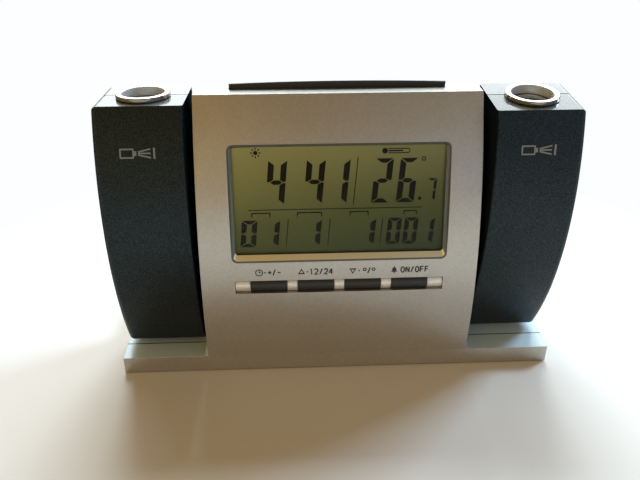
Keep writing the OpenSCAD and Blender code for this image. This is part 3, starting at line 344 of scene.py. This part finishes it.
def ring_chrome():
    """Chrome with a bright flat top, flanks darkened by a painted reflection, a duller throat, and a ledge
    deep in it painted black as shade.
    """
    f = Finish("chrome")
    marks = f.noise(1800, 4, 0.6, (1, 1, 8))
    top = f.facing_up()
    low = f.calculate("LESS_THAN", f.axis(f.place, "Z"), RING_TOP - LEDGE_DEPTH)
    ledge = f.calculate("MULTIPLY", top, low)
    left, right = RING_AXES
    here = f.calculate("GREATER_THAN", f.axis(f.place, "X"), 0.0)
    dx = f.calculate("SUBTRACT", f.axis(f.place, "X"), f.span(here, left[0], right[0], 0, 1))
    dy = f.calculate("SUBTRACT", f.axis(f.place, "Y"), f.span(here, left[1], right[1], 0, 1))
    squares = f.calculate("ADD", f.calculate("MULTIPLY", dx, dx), f.calculate("MULTIPLY", dy, dy))
    flank = f.calculate("GREATER_THAN", f.calculate("SQRT", squares), RING_FLANK_FROM)
    bright = f.blend(marks, CHROME_DULL, CHROME_BRIGHT)
    # Flanks take the painted reflection; the deep ledge takes the painted shade.
    plating = f.blend(top, f.blend(flank, THROAT, FLANK_PAINTED_REFLECTION), bright)
    f.colour(f.blend(ledge, plating, LEDGE_PAINTED_SHADE))
    inside = f.calculate("MULTIPLY", f.calculate("SUBTRACT", 1.0, flank), f.calculate("SUBTRACT", 1.0, top))
    matt = f.calculate("MULTIPLY", f.calculate("MAXIMUM", ledge, inside), THROAT_ROUGHER)
    f.roughness(f.calculate("ADD", f.span(marks, 0.055, 0.09), matt))
    f.link(f.span(inside, 1.0, THROAT_METALLIC, 0, 1), f.shader.inputs["Metallic"])
    f.relief(marks, 0.0006 * MM, 0.4, 0.12 * MM)
    return f.material


def bezel():
    """Grey enamel, with a painted highlight on the foot slope: the light from above painted onto it in a pale
    colour.
    """
    f = Finish("bezel", Metallic=0.8)
    coat = f.blend(f.noise(300, 3), BEZEL_DARK, BEZEL_PALE)
    # Slopes that face upwards take the painted highlight.
    f.colour(f.blend(f.facing_up(BEZEL_SLOPE), coat, BEZEL_FOOT_PAINTED_HIGHLIGHT))
    f.roughness(f.span(f.noise(700, 3), 0.31, 0.37))
    f.relief(f.noise(4500, 3), 0.001 * MM, 0.3)
    return f.material


def metal(name, colour, rough, stretch=(1, 1, 1), depth=0.002):
    """Bare or plated metal with fine turning or drawing marks along one direction."""
    f = Finish(name, Metallic=1.0, Roughness=rough)
    marks = f.noise(1800, 4, 0.6, stretch)
    f.colour(f.blend(marks, tuple(0.9 * c for c in colour), colour))
    f.roughness(f.span(marks, rough * 0.8, rough * 1.3))
    f.relief(marks, depth * MM, 0.4, 0.12 * MM)
    return f.material


def display_glass():
    """Reflective LCD: olive reflector with a fine grain, and a painted reflection that leaves it warm at the
    upper left and deep at the lower right.
    """
    f = Finish("lcd", Metallic=0.6, Roughness=0.42)
    reach = LCD_HIGH - LCD_MIDDLE
    rise = f.span(f.axis(f.place, "Z"), 0, LCD_RISE, LCD_MIDDLE.z - reach.z, LCD_MIDDLE.z + reach.z)
    left = f.span(f.axis(f.place, "X"), LCD_LEFT, 0, -reach.x, reach.x)
    # The olive colour darkens from the upper left to the lower right: a painted reflection.
    tone = f.ramp(f.calculate("ADD", rise, left), LCD_TONES_PAINTED_REFLECTION)
    f.colour(f.blend(1.0, tone, f.span(f.noise(2600, 3, 0.7), *LCD_GRAIN), "MULTIPLY"))
    f.roughness(f.span(f.noise(60, 2), 0.38, 0.46))
    f.relief(f.noise(5000, 2), 0.003 * MM, 0.3)
    return f.material


def clear(name, tint, rough, index):
    """Clear plastic or glass that lets the light through to what lies behind it."""
    f = Finish(name)
    f.tree.nodes.remove(f.shader)
    through = f.add("ShaderNodeBsdfTransparent")
    through.inputs["Color"].default_value = (*tint, 1)
    gloss = f.add("ShaderNodeBsdfGlossy")
    gloss.inputs["Color"].default_value = (0.95, 0.97, 1, 1)
    f.link(f.span(f.noise(70, 3), rough, rough * 2.2), gloss.inputs["Roughness"])
    share = f.add("ShaderNodeFresnel")
    share.inputs["IOR"].default_value = index
    mix = f.add("ShaderNodeMixShader")
    f.link(share.outputs["Fac"], mix.inputs["Fac"])
    f.link(through.outputs["BSDF"], mix.inputs[1])
    f.link(gloss.outputs["BSDF"], mix.inputs[2])
    f.link(mix.outputs["Shader"], f.output.inputs["Surface"])
    return f.material


def circuit_board():
    """Solder mask over copper tracks on a fine grid."""
    f = Finish("board", Roughness=0.35, Coat_Weight=0.4)
    tracks = f.add("ShaderNodeTexBrick")
    tracks.inputs["Scale"].default_value = 260
    tracks.inputs["Color1"].default_value = (0.012, 0.105, 0.045, 1)
    tracks.inputs["Color2"].default_value = (0.010, 0.080, 0.034, 1)
    tracks.inputs["Mortar"].default_value = (0.040, 0.200, 0.075, 1)
    f.link(f.place, tracks.inputs["Vector"])
    f.colour(f.blend(f.noise(300, 3), tracks.outputs["Color"], (0.012, 0.09, 0.04)))
    f.roughness(f.span(f.noise(900, 3), 0.28, 0.42))
    f.relief(tracks.outputs["Fac"], 0.03 * MM, 0.4)
    return f.material


def cell_can():
    """Wrapper of a plain cell: a dark band and a lighter end, parted along its length."""
    f = Finish("cell_can", Metallic=0.6, Roughness=0.3)
    dark = (0.03, 0.035, 0.05)
    bands = f.ramp(f.span(f.axis(f.place, "X"), 0, 1, -CAN_REACH, CAN_REACH),
                   ((0, dark), (0.68, dark), (0.70, (0.55, 0.36, 0.14)), (1, (0.60, 0.40, 0.16))))
    f.colour(f.blend(f.noise(500, 3), bands, (0.10, 0.10, 0.11)))
    f.roughness(f.span(f.noise(400, 2), 0.25, 0.36))
    f.relief(f.noise(1500, 2), 0.004 * MM, 0.4, 0.2 * MM)
    return f.material


FINISHES = {
    "silver": silver("silver", (0.475, 0.455, 0.415), (0.520, 0.500, 0.460), 0.80),
    "charcoal": pod_shell(),
    "key_black": moulded("key_black", (0.020, 0.021, 0.023), 0.34, 0.35, 0.006, 0.20),
    "black_plastic": moulded("black_plastic", (0.016, 0.016, 0.018), 0.45, 0.25),
    "grey_plastic": bezel(),
    "chrome": ring_chrome(),
    "window": clear("window", (0.97, 0.98, 0.96), 0.015, 1.17),
    "lcd": display_glass(),
    "lens": clear("lens", (0.86, 0.93, 0.98), 0.01, 1.85),
    "lamp": moulded("lamp", (0.70, 0.16, 0.10), 0.18, 0.50, 0.003, Transmission_Weight=0.5),
    "white_plastic": moulded("white_plastic", (0.62, 0.61, 0.57), 0.42, 0.40),
    "elastomer": moulded("elastomer", (0.45, 0.22, 0.22), 0.65, 0.30),
    "rubber": moulded("rubber", (0.022, 0.022, 0.022), 0.75, 0.22, 0.03),
    "board": circuit_board(),
    "resin": moulded("resin", (0.012, 0.012, 0.013), 0.28, 0.60, 0.02),
    "steel": metal("steel", (0.56, 0.56, 0.55), 0.30, (6, 6, 1), 0.003),
    "cell_can": cell_can(),
    "contact": metal("contact", (0.72, 0.60, 0.36), 0.26, (1, 8, 1), 0.003),
    "lead": moulded("lead", (0.30, 0.025, 0.02), 0.40, 0.50),
    "fibre": moulded("fibre", (0.20, 0.06, 0.035), 0.70, 0.15, 0.03),
}
# The key strip is silver like the covers, painted paler as a highlight standing for the light it catches from
# above.
NODE_FINISHES = {"key_strip": silver("strip_silver_painted_highlight", (0.80, 0.77, 0.71), (0.86, 0.83, 0.77), 0.55)}
INK = moulded("ink", (0.014, 0.014, 0.016), 0.50, 0.20, 0.002, 0.02)
PALE_INK = moulded("pale_ink", (0.24, 0.25, 0.26), 0.50, 0.20, 0.002, 0.02)
SEGMENT_INK = moulded("segment_ink", (0.012, 0.010, 0.009), 0.50, 0.30, 0.002, 0.02, Specular_IOR_Level=0.1)


def dress_frame():
    """Gives every CAD node the finish of its slot, or its own."""
    for name, node in NODES.items():
        for place in node.material_slots:
            place.material = NODE_FINISHES.get(name) or FINISHES[place.material.name.split(".")[0]]


# ---------- Flat plates: display segments and printed marks ----------

WELD = 0.001 * MM
MITRE_LIMIT = 0.6           # least cosine of half the turn at which a corner keeps its point


def plate(name, faces, place, thickness, material):
    """A thin closed plate for each outline; place(x, z) gives a point of its outer face, in metres."""
    bm = bmesh.new()
    for outline in faces:
        bm.faces.new([bm.verts.new(place(x, z)) for x, z in outline])
    bmesh.ops.remove_doubles(bm, verts=bm.verts, dist=WELD)
    bmesh.ops.recalc_face_normals(bm, faces=bm.faces)
    for face in bm.faces:
        if face.normal.y > 0:
            face.normal_flip()
    bmesh.ops.solidify(bm, geom=bm.faces[:], thickness=thickness)
    bmesh.ops.recalc_face_normals(bm, faces=bm.faces)
    mesh = bpy.data.meshes.new(name)
    bm.to_mesh(mesh)
    bm.free()
    mesh.materials.append(material)
    piece = bpy.data.objects.new(name, mesh)
    bpy.context.scene.collection.objects.link(piece)
    return piece


def box_outline(x0, x1, z0, z1):
    """Upright rectangle."""
    return [(x0, z0), (x1, z0), (x1, z1), (x0, z1)]


def bar(start, end, width):
    """Straight stroke between two points."""
    (x0, z0), (x1, z1) = start, end
    length = math.hypot(x1 - x0, z1 - z0)
    nx, nz = (z1 - z0) / length * width / 2, -(x1 - x0) / length * width / 2
    return [(x0 - nx, z0 - nz), (x0 + nx, z0 + nz), (x1 + nx, z1 + nz), (x1 - nx, z1 - nz)]


def stroke(path, width):
    """A line through points, as a strip of quads with mitred corners."""
    sides = []
    for i, (x, z) in enumerate(path):
        before, after = path[max(i - 1, 0)], path[min(i + 1, len(path) - 1)]
        into = Vector((x - before[0], z - before[1])) if i else Vector((after[0] - x, after[1] - z))
        out = Vector((after[0] - x, after[1] - z)) if i < len(path) - 1 else into
        into, out = into.normalized(), out.normalized()
        along = (into + out).normalized()
        half = width / 2 / max(along.dot(into), MITRE_LIMIT)
        sides.append(((x + along.y * half, z - along.x * half), (x - along.y * half, z + along.x * half)))
    return [[a0, a1, b1, b0] for (a0, a1), (b0, b1) in zip(sides, sides[1:])]


def ring(x, z, outer, inner, start=0, end=360, steps=36):
    """Ring, or a part of one, as a strip of quads; angles in degrees from +x."""
    faces = []
    for i in range(steps):
        a, b = (math.radians(start + (end - start) * k / steps) for k in (i, i + 1))
        faces.append([(x + r * math.cos(t), z + r * math.sin(t))
                      for r, t in ((inner, a), (outer, a), (outer, b), (inner, b))])
    return faces


def disc(x, z, radius, steps=24):
    """Filled circle."""
    turns = [2 * math.pi * i / steps for i in range(steps)]
    return [[(x + radius * math.cos(t), z + radius * math.sin(t)) for t in turns]]


# ---------- Display content ----------

SLANT = 0.098               # lean of the digits, per mm of height
SEGMENT_GAP = 0.22          # mm
SEGMENT_LIFT = 0.06 * MM    # from the glass to the segments' outer face
SEGMENT_T = 0.04 * MM
LIT = {"0": "abcdef", "1": "bc", "2": "abged", "4": "fgbc", "6": "afgedc", "7": "abc"}


def digit(sign, x, low, width, height, upright, level):
    """Seven-segment digit with its lower left corner at x, low; upright and level are its strokes' widths."""
    mid, gap = height / 2, SEGMENT_GAP
    half = level / 2
    shapes = {
        "f": [(0, height - gap), (upright, height - level - gap), (upright, mid + half + 0.4 * gap),
              (0.4 * upright, mid + 0.6 * gap), (0, mid + 0.4 * half)],
        "a": [(gap, height), (width - gap, height), (width - upright - gap, height - level),
              (upright + gap, height - level)],
        "g": [(0.45 * upright + gap, mid), (upright + gap, mid + half), (width - upright - gap, mid + half),
              (width - 0.45 * upright - gap, mid), (width - upright - gap, mid - half),
              (upright + gap, mid - half)],
    }
    shapes["e"] = [(px, height - pz) for px, pz in shapes["f"]]
    shapes["d"] = [(px, height - pz) for px, pz in shapes["a"]]
    shapes["b"] = [(width - px, pz) for px, pz in shapes["f"]]
    shapes["c"] = [(width - px, pz) for px, pz in shapes["e"]]
    return [[(x + px + SLANT * pz, low + pz) for px, pz in shapes[name]] for name in LIT[sign]]


# Rows of the display, in mm from the middle of its glass
TIME_LOW, TIME_HIGH = -1.2, 13.9
TENTHS_LOW = TIME_LOW + 0.3
DATE_LOW, DATE_HIGH = -16.0, -6.6
RULE_Z = -3.0
FIELD_LOW, FIELD_HIGH = -5.55, -3.95
TOP_MARK_Z = 16.4

# Digits: width, height, and widths of the upright and the level strokes
TIME_DIGIT = (6.3, TIME_HIGH - TIME_LOW, 2.0, 1.5)
DEGREE_DIGIT = (6.1, *TIME_DIGIT[1:])
TENTHS_DIGIT = (3.3, 7.8, 0.95, 0.75)
DATE_DIGIT = (5.3, DATE_HIGH - DATE_LOW, 1.8, 1.25)
DAY_DIGIT = (4.7, DATE_HIGH - DATE_LOW, 1.6, 1.2)

# What each row shows, and the x of each sign's lower left corner
TIME_SIGNS = (("4", -24.9), ("4", -12.15), ("1", -3.9))
DEGREE_SIGNS = (("2", 10.7), ("6", 19.1))
TENTHS_SIGN = ("7", 29.0)
DATE_SIGNS = (("0", -33.9), ("1", -26.2), ("1", -12.05), ("1", 6.5))
DAY_SIGNS = (("0", 15.85), ("0", 21.6), ("1", 27.35))

DECIMAL_POINT = (27.27, 0.1, 0.6)           # x, z, radius
DEGREE_RING = (28.25, 13.6, 0.75, 0.42)     # x, z, outer and inner radius
RULE_W = 0.3
RULE_ENDS = (-30.8, 28.4)
# Slanting rules: x at the foot, and heights of the foot and the top
TIME_RULE = (4.75, TIME_LOW - 0.4, TIME_HIGH + 0.6)
DATE_RULES = tuple((x, DATE_LOW, DATE_HIGH + 0.3) for x in (-18.25, -4.0, 13.95))
FIELDS = ((-29.8, -23.3), (-14.4, -5.8), (3.5, 10.0), (21.9, 26.5))
FIELD_STROKE = 0.4
SUN_X, THERMOMETER_X = -27.6, 19.4


def display_content():
    """Time, temperature and date as plain numbers, with rules, brackets and two pictograms."""
    faces = []
    for row, low, shape in ((TIME_SIGNS, TIME_LOW, TIME_DIGIT), (DEGREE_SIGNS, TIME_LOW, DEGREE_DIGIT),
                            ((TENTHS_SIGN,), TENTHS_LOW, TENTHS_DIGIT),
                            (DATE_SIGNS, DATE_LOW, DATE_DIGIT), (DAY_SIGNS, DATE_LOW, DAY_DIGIT)):
        for sign, x in row:
            faces += digit(sign, x, low, *shape)
    faces += disc(*DECIMAL_POINT)
    faces += ring(*DEGREE_RING)
    for x, low, high in (TIME_RULE, *DATE_RULES):
        faces.append(bar((x, low), (x + SLANT * (high - low), high), RULE_W))
    faces.append(box_outline(*RULE_ENDS, RULE_Z - RULE_W / 2, RULE_Z + RULE_W / 2))
    for x0, x1 in FIELDS:
        faces += field_bracket(x0, x1)
    faces += sun_mark(SUN_X, TOP_MARK_Z)
    faces += thermometer_mark(THERMOMETER_X, TOP_MARK_Z)
    return faces


def field_bracket(x0, x1):
    """Small bracket over a field: a level stroke with two ticks."""
    under = FIELD_HIGH - FIELD_STROKE
    return [box_outline(x0, x1, under, FIELD_HIGH),
            box_outline(x0, x0 + FIELD_STROKE, FIELD_LOW, under),
            box_outline(x1 - FIELD_STROKE, x1, FIELD_LOW, under)]


def sun_mark(x, z):
    """Morning sign: a small sun."""
    core_r, ray_from, ray_to, ray_w = 0.7, 1.05, 1.7, 0.36
    rays = 8
    faces = disc(x, z, core_r)
    for i in range(rays):
        a = math.radians(360 / rays * i)
        start, end = ((x + r * math.cos(a), z + r * math.sin(a)) for r in (ray_from, ray_to))
        faces.append(bar(start, end, ray_w))
    return faces


def thermometer_mark(x, z):
    """Temperature sign: a level thermometer, its bulb at the left."""
    bulb, bulb_r = x - 4.2, 0.95
    column, column_w = (x - 3.1, x + 1.8), 0.45
    tube, tube_half, tube_w = (x - 3.2, x + 3.4), 0.7, 0.3
    faces = disc(bulb, z, bulb_r)
    faces.append(bar((column[0], z), (column[1], z), column_w))
    faces += ring(tube[1], z, tube_half + tube_w / 2, tube_half - tube_w / 2, -90, 90, 12)
    faces += [bar((tube[0], z + s * tube_half), (tube[1], z + s * tube_half), tube_w) for s in (-1, 1)]
    return faces


def make_display():
    """The segments that show, as one piece just before the glass."""
    def place(x, z):
        return LCD_MIDDLE + Vector((x * MM, 0, 0)) + LCD_UP * z * MM + LCD_NORMAL * SEGMENT_LIFT

    piece = plate("display_segments", display_content(), place, SEGMENT_T, SEGMENT_INK)
    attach(piece, "case")


# ---------- Printed marks ----------

PRINT_LIFT = 0.04 * MM      # how far the ink stands out; the rest of its thickness is sunk
PRINT_T = 0.06 * MM
PRINT_FROM = COVER_LOW.y - 50 * MM      # a plane before the clock, from which prints are laid on
MARK_STROKE = 0.46          # mm, as all sizes of the marks
DOT_R = 0.28
SIGN_H, SIGN_W, SIGN_PITCH = 2.0, 1.1, 1.68
MARK_GAP = 3.35             # from a key's top edge to the middle of its mark
POD_MARK_Z = 87             # height of the sign on each pod


def print_on(name, node, faces, body, material):
    """Ink on a node's front: a thin plate that follows its surface."""
    tree = surface(node)

    def place(x, z):
        hit = tree.ray_cast(Vector((x * MM, PRINT_FROM, z * MM)), Vector((0, 1, 0)))[0]
        return hit - Vector((0, PRINT_LIFT, 0))

    piece = plate(name, faces, place, PRINT_T, material)
    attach(piece, body)


def clock_mark(x, z):
    """Clock face with two hands."""
    outer, inner, hand_w = 1.35, 1.0, 0.32
    long_hand, short_hand = (-0.1, 0.8), (hand_w / 2, 0.7)      # from the middle, up and to the right
    return [*ring(x, z, outer, inner),
            bar((x, z + long_hand[0]), (x, z + long_hand[1]), hand_w),
            bar((x + short_hand[0], z), (x + short_hand[1], z), hand_w)]


def arrow_mark(x, z, direction):
    """Open triangle that points up or down."""
    outer, inner = 1.25, 0.62
    corners = [(-1, -0.72), (1, -0.72), (0, 1.05)]
    faces = []
    for i in range(3):
        (ax, az), (bx, bz) = corners[i], corners[(i + 1) % 3]
        faces.append([(x + s * px, z + s * direction * pz)
                      for s, px, pz in ((outer, ax, az), (outer, bx, bz), (inner, bx, bz), (inner, ax, az))])
    return faces


def bell_mark(x, z):
    """Bell of an alarm."""
    dome_r, dome_z = 0.72, 0.25
    skirt = ((-0.8, -0.55), (-1.15, -0.8), (1.15, -0.8), (0.8, -0.55))
    clapper, knob = (-1.05, 0.24), (1.12, 0.2)      # height and radius
    turns = [math.radians(15 * i) for i in range(13)]
    dome = [(x + dome_r * math.cos(t), z + dome_z + dome_r * math.sin(t)) for t in turns]
    faces = [dome + [(x + px, z + pz) for px, pz in skirt]]
    for height, radius in (clapper, knob):
        faces += disc(x, z + height, radius, 12)
    return faces


def projector_mark(x, z):
    """Projector from the side: housing, lens, a widening beam and a screen."""
    housing, housing_half = (x - 6, x - 1.6), 1.3
    walls, wall_half = (x - 5.85, x - 1.75), 1.15
    lens, lens_half = (x - 1.45, x - 0.75), 0.7
    beam, beam_halves = (x - 0.2, x + 3.8), (0.45, 1.35)
    screen, screen_half, screen_w = x + 4.9, 1.7, 1.3 * MARK_STROKE
    faces = [bar((housing[0], z + s * housing_half), (housing[1], z + s * housing_half), MARK_STROKE)
             for s in (-1, 1)]
    faces += [bar((wall, z - wall_half), (wall, z + wall_half), MARK_STROKE) for wall in walls]
    faces.append(box_outline(*lens, z - lens_half, z + lens_half))
    faces += [bar((beam[0], z + s * beam_halves[0]), (beam[1], z + s * beam_halves[1]), MARK_STROKE)
              for s in (-1, 0, 1)]
    faces.append(bar((screen, z - screen_half), (screen, z + screen_half), screen_w))
    return faces


# Strokes of the plain signs, in shares of their width and height
SIGNS = {
    "1": [((0.2, 0.78), (0.55, 1), (0.55, 0))],
    "2": [((0, 0.78), (0.25, 1), (0.75, 1), (1, 0.78), (1, 0.62), (0, 0), (1, 0))],
    "4": [((0.75, 0), (0.75, 1)), ((0.7, 1), (0, 0.32), (1.05, 0.32))],
    "/": [((0.1, -0.05), (0.8, 1.05))],
    "O": [((0.5, 0), (0.3, 0), (0, 0.28), (0, 0.72), (0.3, 1), (0.7, 1), (1, 0.72), (1, 0.28),
           (0.7, 0), (0.5, 0))],
    "N": [((0, 0), (0, 1)), ((0.1, 1), (0.9, 0)), ((1, 0), (1, 1))],
    "F": [((0, 0), (0, 1), (0.95, 1)), ((0.21, 0.52), (0.8, 0.52))],
    "+": [((0.05, 0.5), (1.15, 0.5)), ((0.6, 0.2), (0.6, 0.38)), ((0.6, 0.62), (0.6, 0.8))],
    "-": [((0.05, 0.5), (0.95, 0.5))],
}


def dot(x, z):
    """Dot between two signs."""
    return disc(x, z, DOT_R, 12)


def signs(text, x, z):
    """A row of plain signs that starts at x, its middle at height z."""
    faces = []
    for i, sign in enumerate(text):
        left, low = x + i * SIGN_PITCH, z - SIGN_H / 2
        for path in SIGNS[sign]:
            faces += stroke([(left + px * SIGN_W, low + pz * SIGN_H) for px, pz in path], MARK_STROKE)
    return faces


# Labels over the keys: each is laid out in mm from its key's middle

def time_label(x, z):
    """Clock face, and plus and minus for setting it."""
    return clock_mark(x - 3.2, z) + dot(x - 1.2, z) + signs("+/-", x - 0.2, z)


def up_label(x, z):
    """Up, and the choice of 12 or 24 hours."""
    return arrow_mark(x - 5.0, z, 1) + dot(x - 3.0, z) + signs("12/24", x - 2.1, z)


def down_label(x, z):
    """Down, and the choice of the two degree scales."""
    degrees, rise, outer, inner = (x + 0.5, x + 3.6), 0.4, 0.68, 0.32
    faces = arrow_mark(x - 3.6, z, -1) + dot(x - 1.4, z) + signs("/", x + 1.5, z)
    for middle in degrees:
        faces += ring(middle, z + rise, outer, inner)
    return faces


def alarm_label(x, z):
    """Bell, and its switch."""
    return bell_mark(x - 5.6, z) + signs("ON/OFF", x - 3.2, z)


LABELS = {"key_time": time_label, "key_up": up_label, "key_down": down_label, "key_alarm": alarm_label}


def make_marks():
    """The labels over the keys, and the sign on each pod."""
    faces = []
    for node, label in LABELS.items():
        low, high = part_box(node)
        faces += label((low.x + high.x) / 2 / MM, high.z / MM + MARK_GAP)
    print_on("key_marks", "front_cover", faces, "case", INK)
    for side in SIDES:
        low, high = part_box(side + "_pod_front")
        mark = projector_mark((low.x + high.x) / 2 / MM, POD_MARK_Z)
        print_on(side + "_pod_mark", side + "_pod_front", mark, side + "_pod", PALE_INK)


# ---------- Camera and studio ----------

PICTURE_W = 640             # pixels
FOCAL_PX = 668.165          # focal length, in the picture's pixels
SENSOR_W = 36               # mm
YAW, PITCH, ROLL = 2.499, 29.015, -0.059    # degrees
EYE = Vector((-15.36, -221.661, 166.023)) * MM
CLIP_START = 10 * MM

FLOOR_HALF = 4              # m
FLOOR_TONES = ((0.79, 0.77, 0.72), (0.80, 0.78, 0.735))
FLOOR_WHITE = (0.98, 0.99, 1.0, 1)
WHITE_AROUND = (0.10, 0.20)     # m from the middle of the clock: the floor starts to turn white, and is white
WHITE_BEHIND = (-0.10, 0.06)    # the same, along y

# Room light by direction: colours from -1 to 1 along x, before the clock and behind it, the share of the
# second along y, and what both are multiplied by along z
ROOM_ACROSS = ((-1.0, (0.78, 0.63, 0.33)), (-0.30, (1.05, 0.78, 0.33)), (0.02, (0.22, 0.133, 0.018)),
               (0.34, (0.60, 0.70, 0.90)), (1.0, (0.58, 0.70, 0.94)))
ROOM_BEHIND = ((-1.0, (0.52, 0.45, 0.29)), (0.0, (0.40, 0.31, 0.15)), (1.0, (0.60, 0.66, 0.68)))
BEHIND_SHARE = ((-0.1, (0, 0, 0)), (0.6, (1, 1, 1)))
ROOM_UPWARDS = ((0.15, (1, 1, 1)), (0.42, (0.82, 0.69, 0.50)), (0.8, (0.41, 0.27, 0.095)))
ROOM_SEEN = (0.90, 0.92, 0.94)      # what the camera sees of the room

# Place, width and height in metres, brightness and colour of each lamp
LAMPS = {
    "back_window": ((0.05, 1.9, 0.95), 2.6, 1.1, 3.0, (0.86, 0.95, 1.0)),
    "high_window": ((0.0, 1.25, 1.6), 0.9, 0.8, 17.0, (0.80, 0.92, 1.0)),
    "side_window": ((1.5, 0.9, 1.1), 0.6, 0.6, 32.0, (0.58, 0.78, 1.0)),
}
LAMP_AIM = (0, 0, 0.05)


def make_camera():
    """The photograph's camera, solved together with the shape."""
    yaw, pitch, roll = (math.radians(a) for a in (YAW, PITCH, ROLL))
    ahead = Vector((math.sin(yaw) * math.cos(pitch), math.cos(yaw) * math.cos(pitch), -math.sin(pitch)))
    level = Vector((math.cos(yaw), -math.sin(yaw), 0))
    up = level.cross(ahead)
    right = math.cos(roll) * level + math.sin(roll) * up
    up = right.cross(ahead)
    data = bpy.data.cameras.new("camera")
    data.sensor_width = SENSOR_W
    data.sensor_fit = "HORIZONTAL"
    data.lens = FOCAL_PX * SENSOR_W / PICTURE_W
    data.clip_start = CLIP_START
    camera = bpy.data.objects.new("camera", data)
    camera.matrix_world = Matrix.Translation(EYE) @ Matrix((right, up, -ahead)).transposed().to_4x4()
    bpy.context.scene.collection.objects.link(camera)
    bpy.context.scene.camera = camera


def make_floor():
    """Pale matt table top, which the camera and reflections see turn white around and behind the clock."""
    bm = bmesh.new()
    bmesh.ops.create_grid(bm, x_segments=8, y_segments=8, size=FLOOR_HALF)
    mesh = bpy.data.meshes.new("floor")
    bm.to_mesh(mesh)
    bm.free()
    f = Finish("floor", Roughness=0.7, Specular_IOR_Level=0.2)
    f.colour(f.blend(f.noise(6, 3), *FLOOR_TONES))
    f.relief(f.noise(900, 3), 0.02 * MM, 0.2)
    away = f.add("ShaderNodeVectorMath", operation="LENGTH")
    f.link(f.place, away.inputs[0])
    beyond = f.calculate("MULTIPLY", f.span(away.outputs["Value"], 0, 1, *WHITE_AROUND),
                         f.span(f.axis(f.place, "Y"), 0, 1, *WHITE_BEHIND))
    path = f.add("ShaderNodeLightPath").outputs
    seen = f.calculate("MAXIMUM", path["Is Camera Ray"],
                       f.calculate("MAXIMUM", path["Is Glossy Ray"], path["Is Transmission Ray"]))
    white = f.add("ShaderNodeEmission")
    white.inputs["Color"].default_value = FLOOR_WHITE
    mix = f.add("ShaderNodeMixShader")
    f.link(f.calculate("MULTIPLY", beyond, seen), mix.inputs["Fac"])
    f.link(f.shader.outputs["BSDF"], mix.inputs[1])
    f.link(white.outputs["Emission"], mix.inputs[2])
    f.link(mix.outputs["Shader"], f.output.inputs["Surface"])
    mesh.materials.append(f.material)
    floor = bpy.data.objects.new("floor", mesh)
    bpy.context.scene.collection.objects.link(floor)


def make_world():
    """Soft room light by direction, warm from the left and cool from the right; the camera sees it plain."""
    world = bpy.data.worlds.new("room")
    world.use_nodes = True
    bpy.context.scene.world = world
    nodes, links = world.node_tree.nodes, world.node_tree.links
    split = nodes.new("ShaderNodeSeparateXYZ")
    links.new(nodes.new("ShaderNodeTexCoord").outputs["Generated"], split.inputs["Vector"])

    def along(axis, stops):
        """Colours along an axis of the direction: stops are (from -1 to 1, colour)."""
        ramp, place = nodes.new("ShaderNodeValToRGB"), nodes.new("ShaderNodeMapRange")
        place.inputs["From Min"].default_value = -1
        links.new(split.outputs[axis], place.inputs["Value"])
        links.new(place.outputs["Result"], ramp.inputs["Fac"])
        while len(ramp.color_ramp.elements) < len(stops):
            ramp.color_ramp.elements.new(0.5)
        for element, (position, colour) in zip(ramp.color_ramp.elements, stops):
            element.position = (position + 1) / 2
            element.color = (*colour, 1)
        return ramp.outputs["Color"]

    def mixed(mode, factor, first, second):
        """Two colours mixed: the factor is a socket or a number."""
        mix = nodes.new("ShaderNodeMix")
        mix.data_type, mix.blend_type = "RGBA", mode
        for socket, value in zip([s for s in mix.inputs if s.enabled], (factor, first, second)):
            if isinstance(value, float):
                socket.default_value = value
            else:
                links.new(value, socket)
        return [s for s in mix.outputs if s.enabled][0]

    room = along("X", ROOM_ACROSS)
    behind = along("X", ROOM_BEHIND)
    share = along("Y", BEHIND_SHARE)
    level = along("Z", ROOM_UPWARDS)
    colour = mixed("MULTIPLY", 1.0, mixed("MIX", share, room, behind), level)
    plain = nodes.new("ShaderNodeRGB").outputs["Color"]
    plain.default_value = (*ROOM_SEEN, 1)
    shown = mixed("MIX", nodes.new("ShaderNodeLightPath").outputs["Is Camera Ray"], colour, plain)
    links.new(shown, nodes["Background"].inputs["Color"])
    nodes["Background"].inputs["Strength"].default_value = 1.0


def make_window_light(name, place, width, height, radiance, colour):
    """Large soft lamp, given by its brightness and aimed at the clock."""
    data = bpy.data.lights.new(name, "AREA")
    data.shape = "RECTANGLE"
    data.size, data.size_y = width, height
    data.energy = radiance * math.pi * width * height
    data.color = colour
    lamp = bpy.data.objects.new(name, data)
    lamp.location = place
    lamp.rotation_euler = (Vector(LAMP_AIM) - Vector(place)).to_track_quat("-Z", "Y").to_euler()
    bpy.context.scene.collection.objects.link(lamp)


make_camera()
make_floor()
make_world()
for lamp_name, lamp_values in LAMPS.items():
    make_window_light(lamp_name, *lamp_values)
dress_frame()
make_display()
make_marks()
bpy.context.scene.view_settings.view_transform = "Standard"
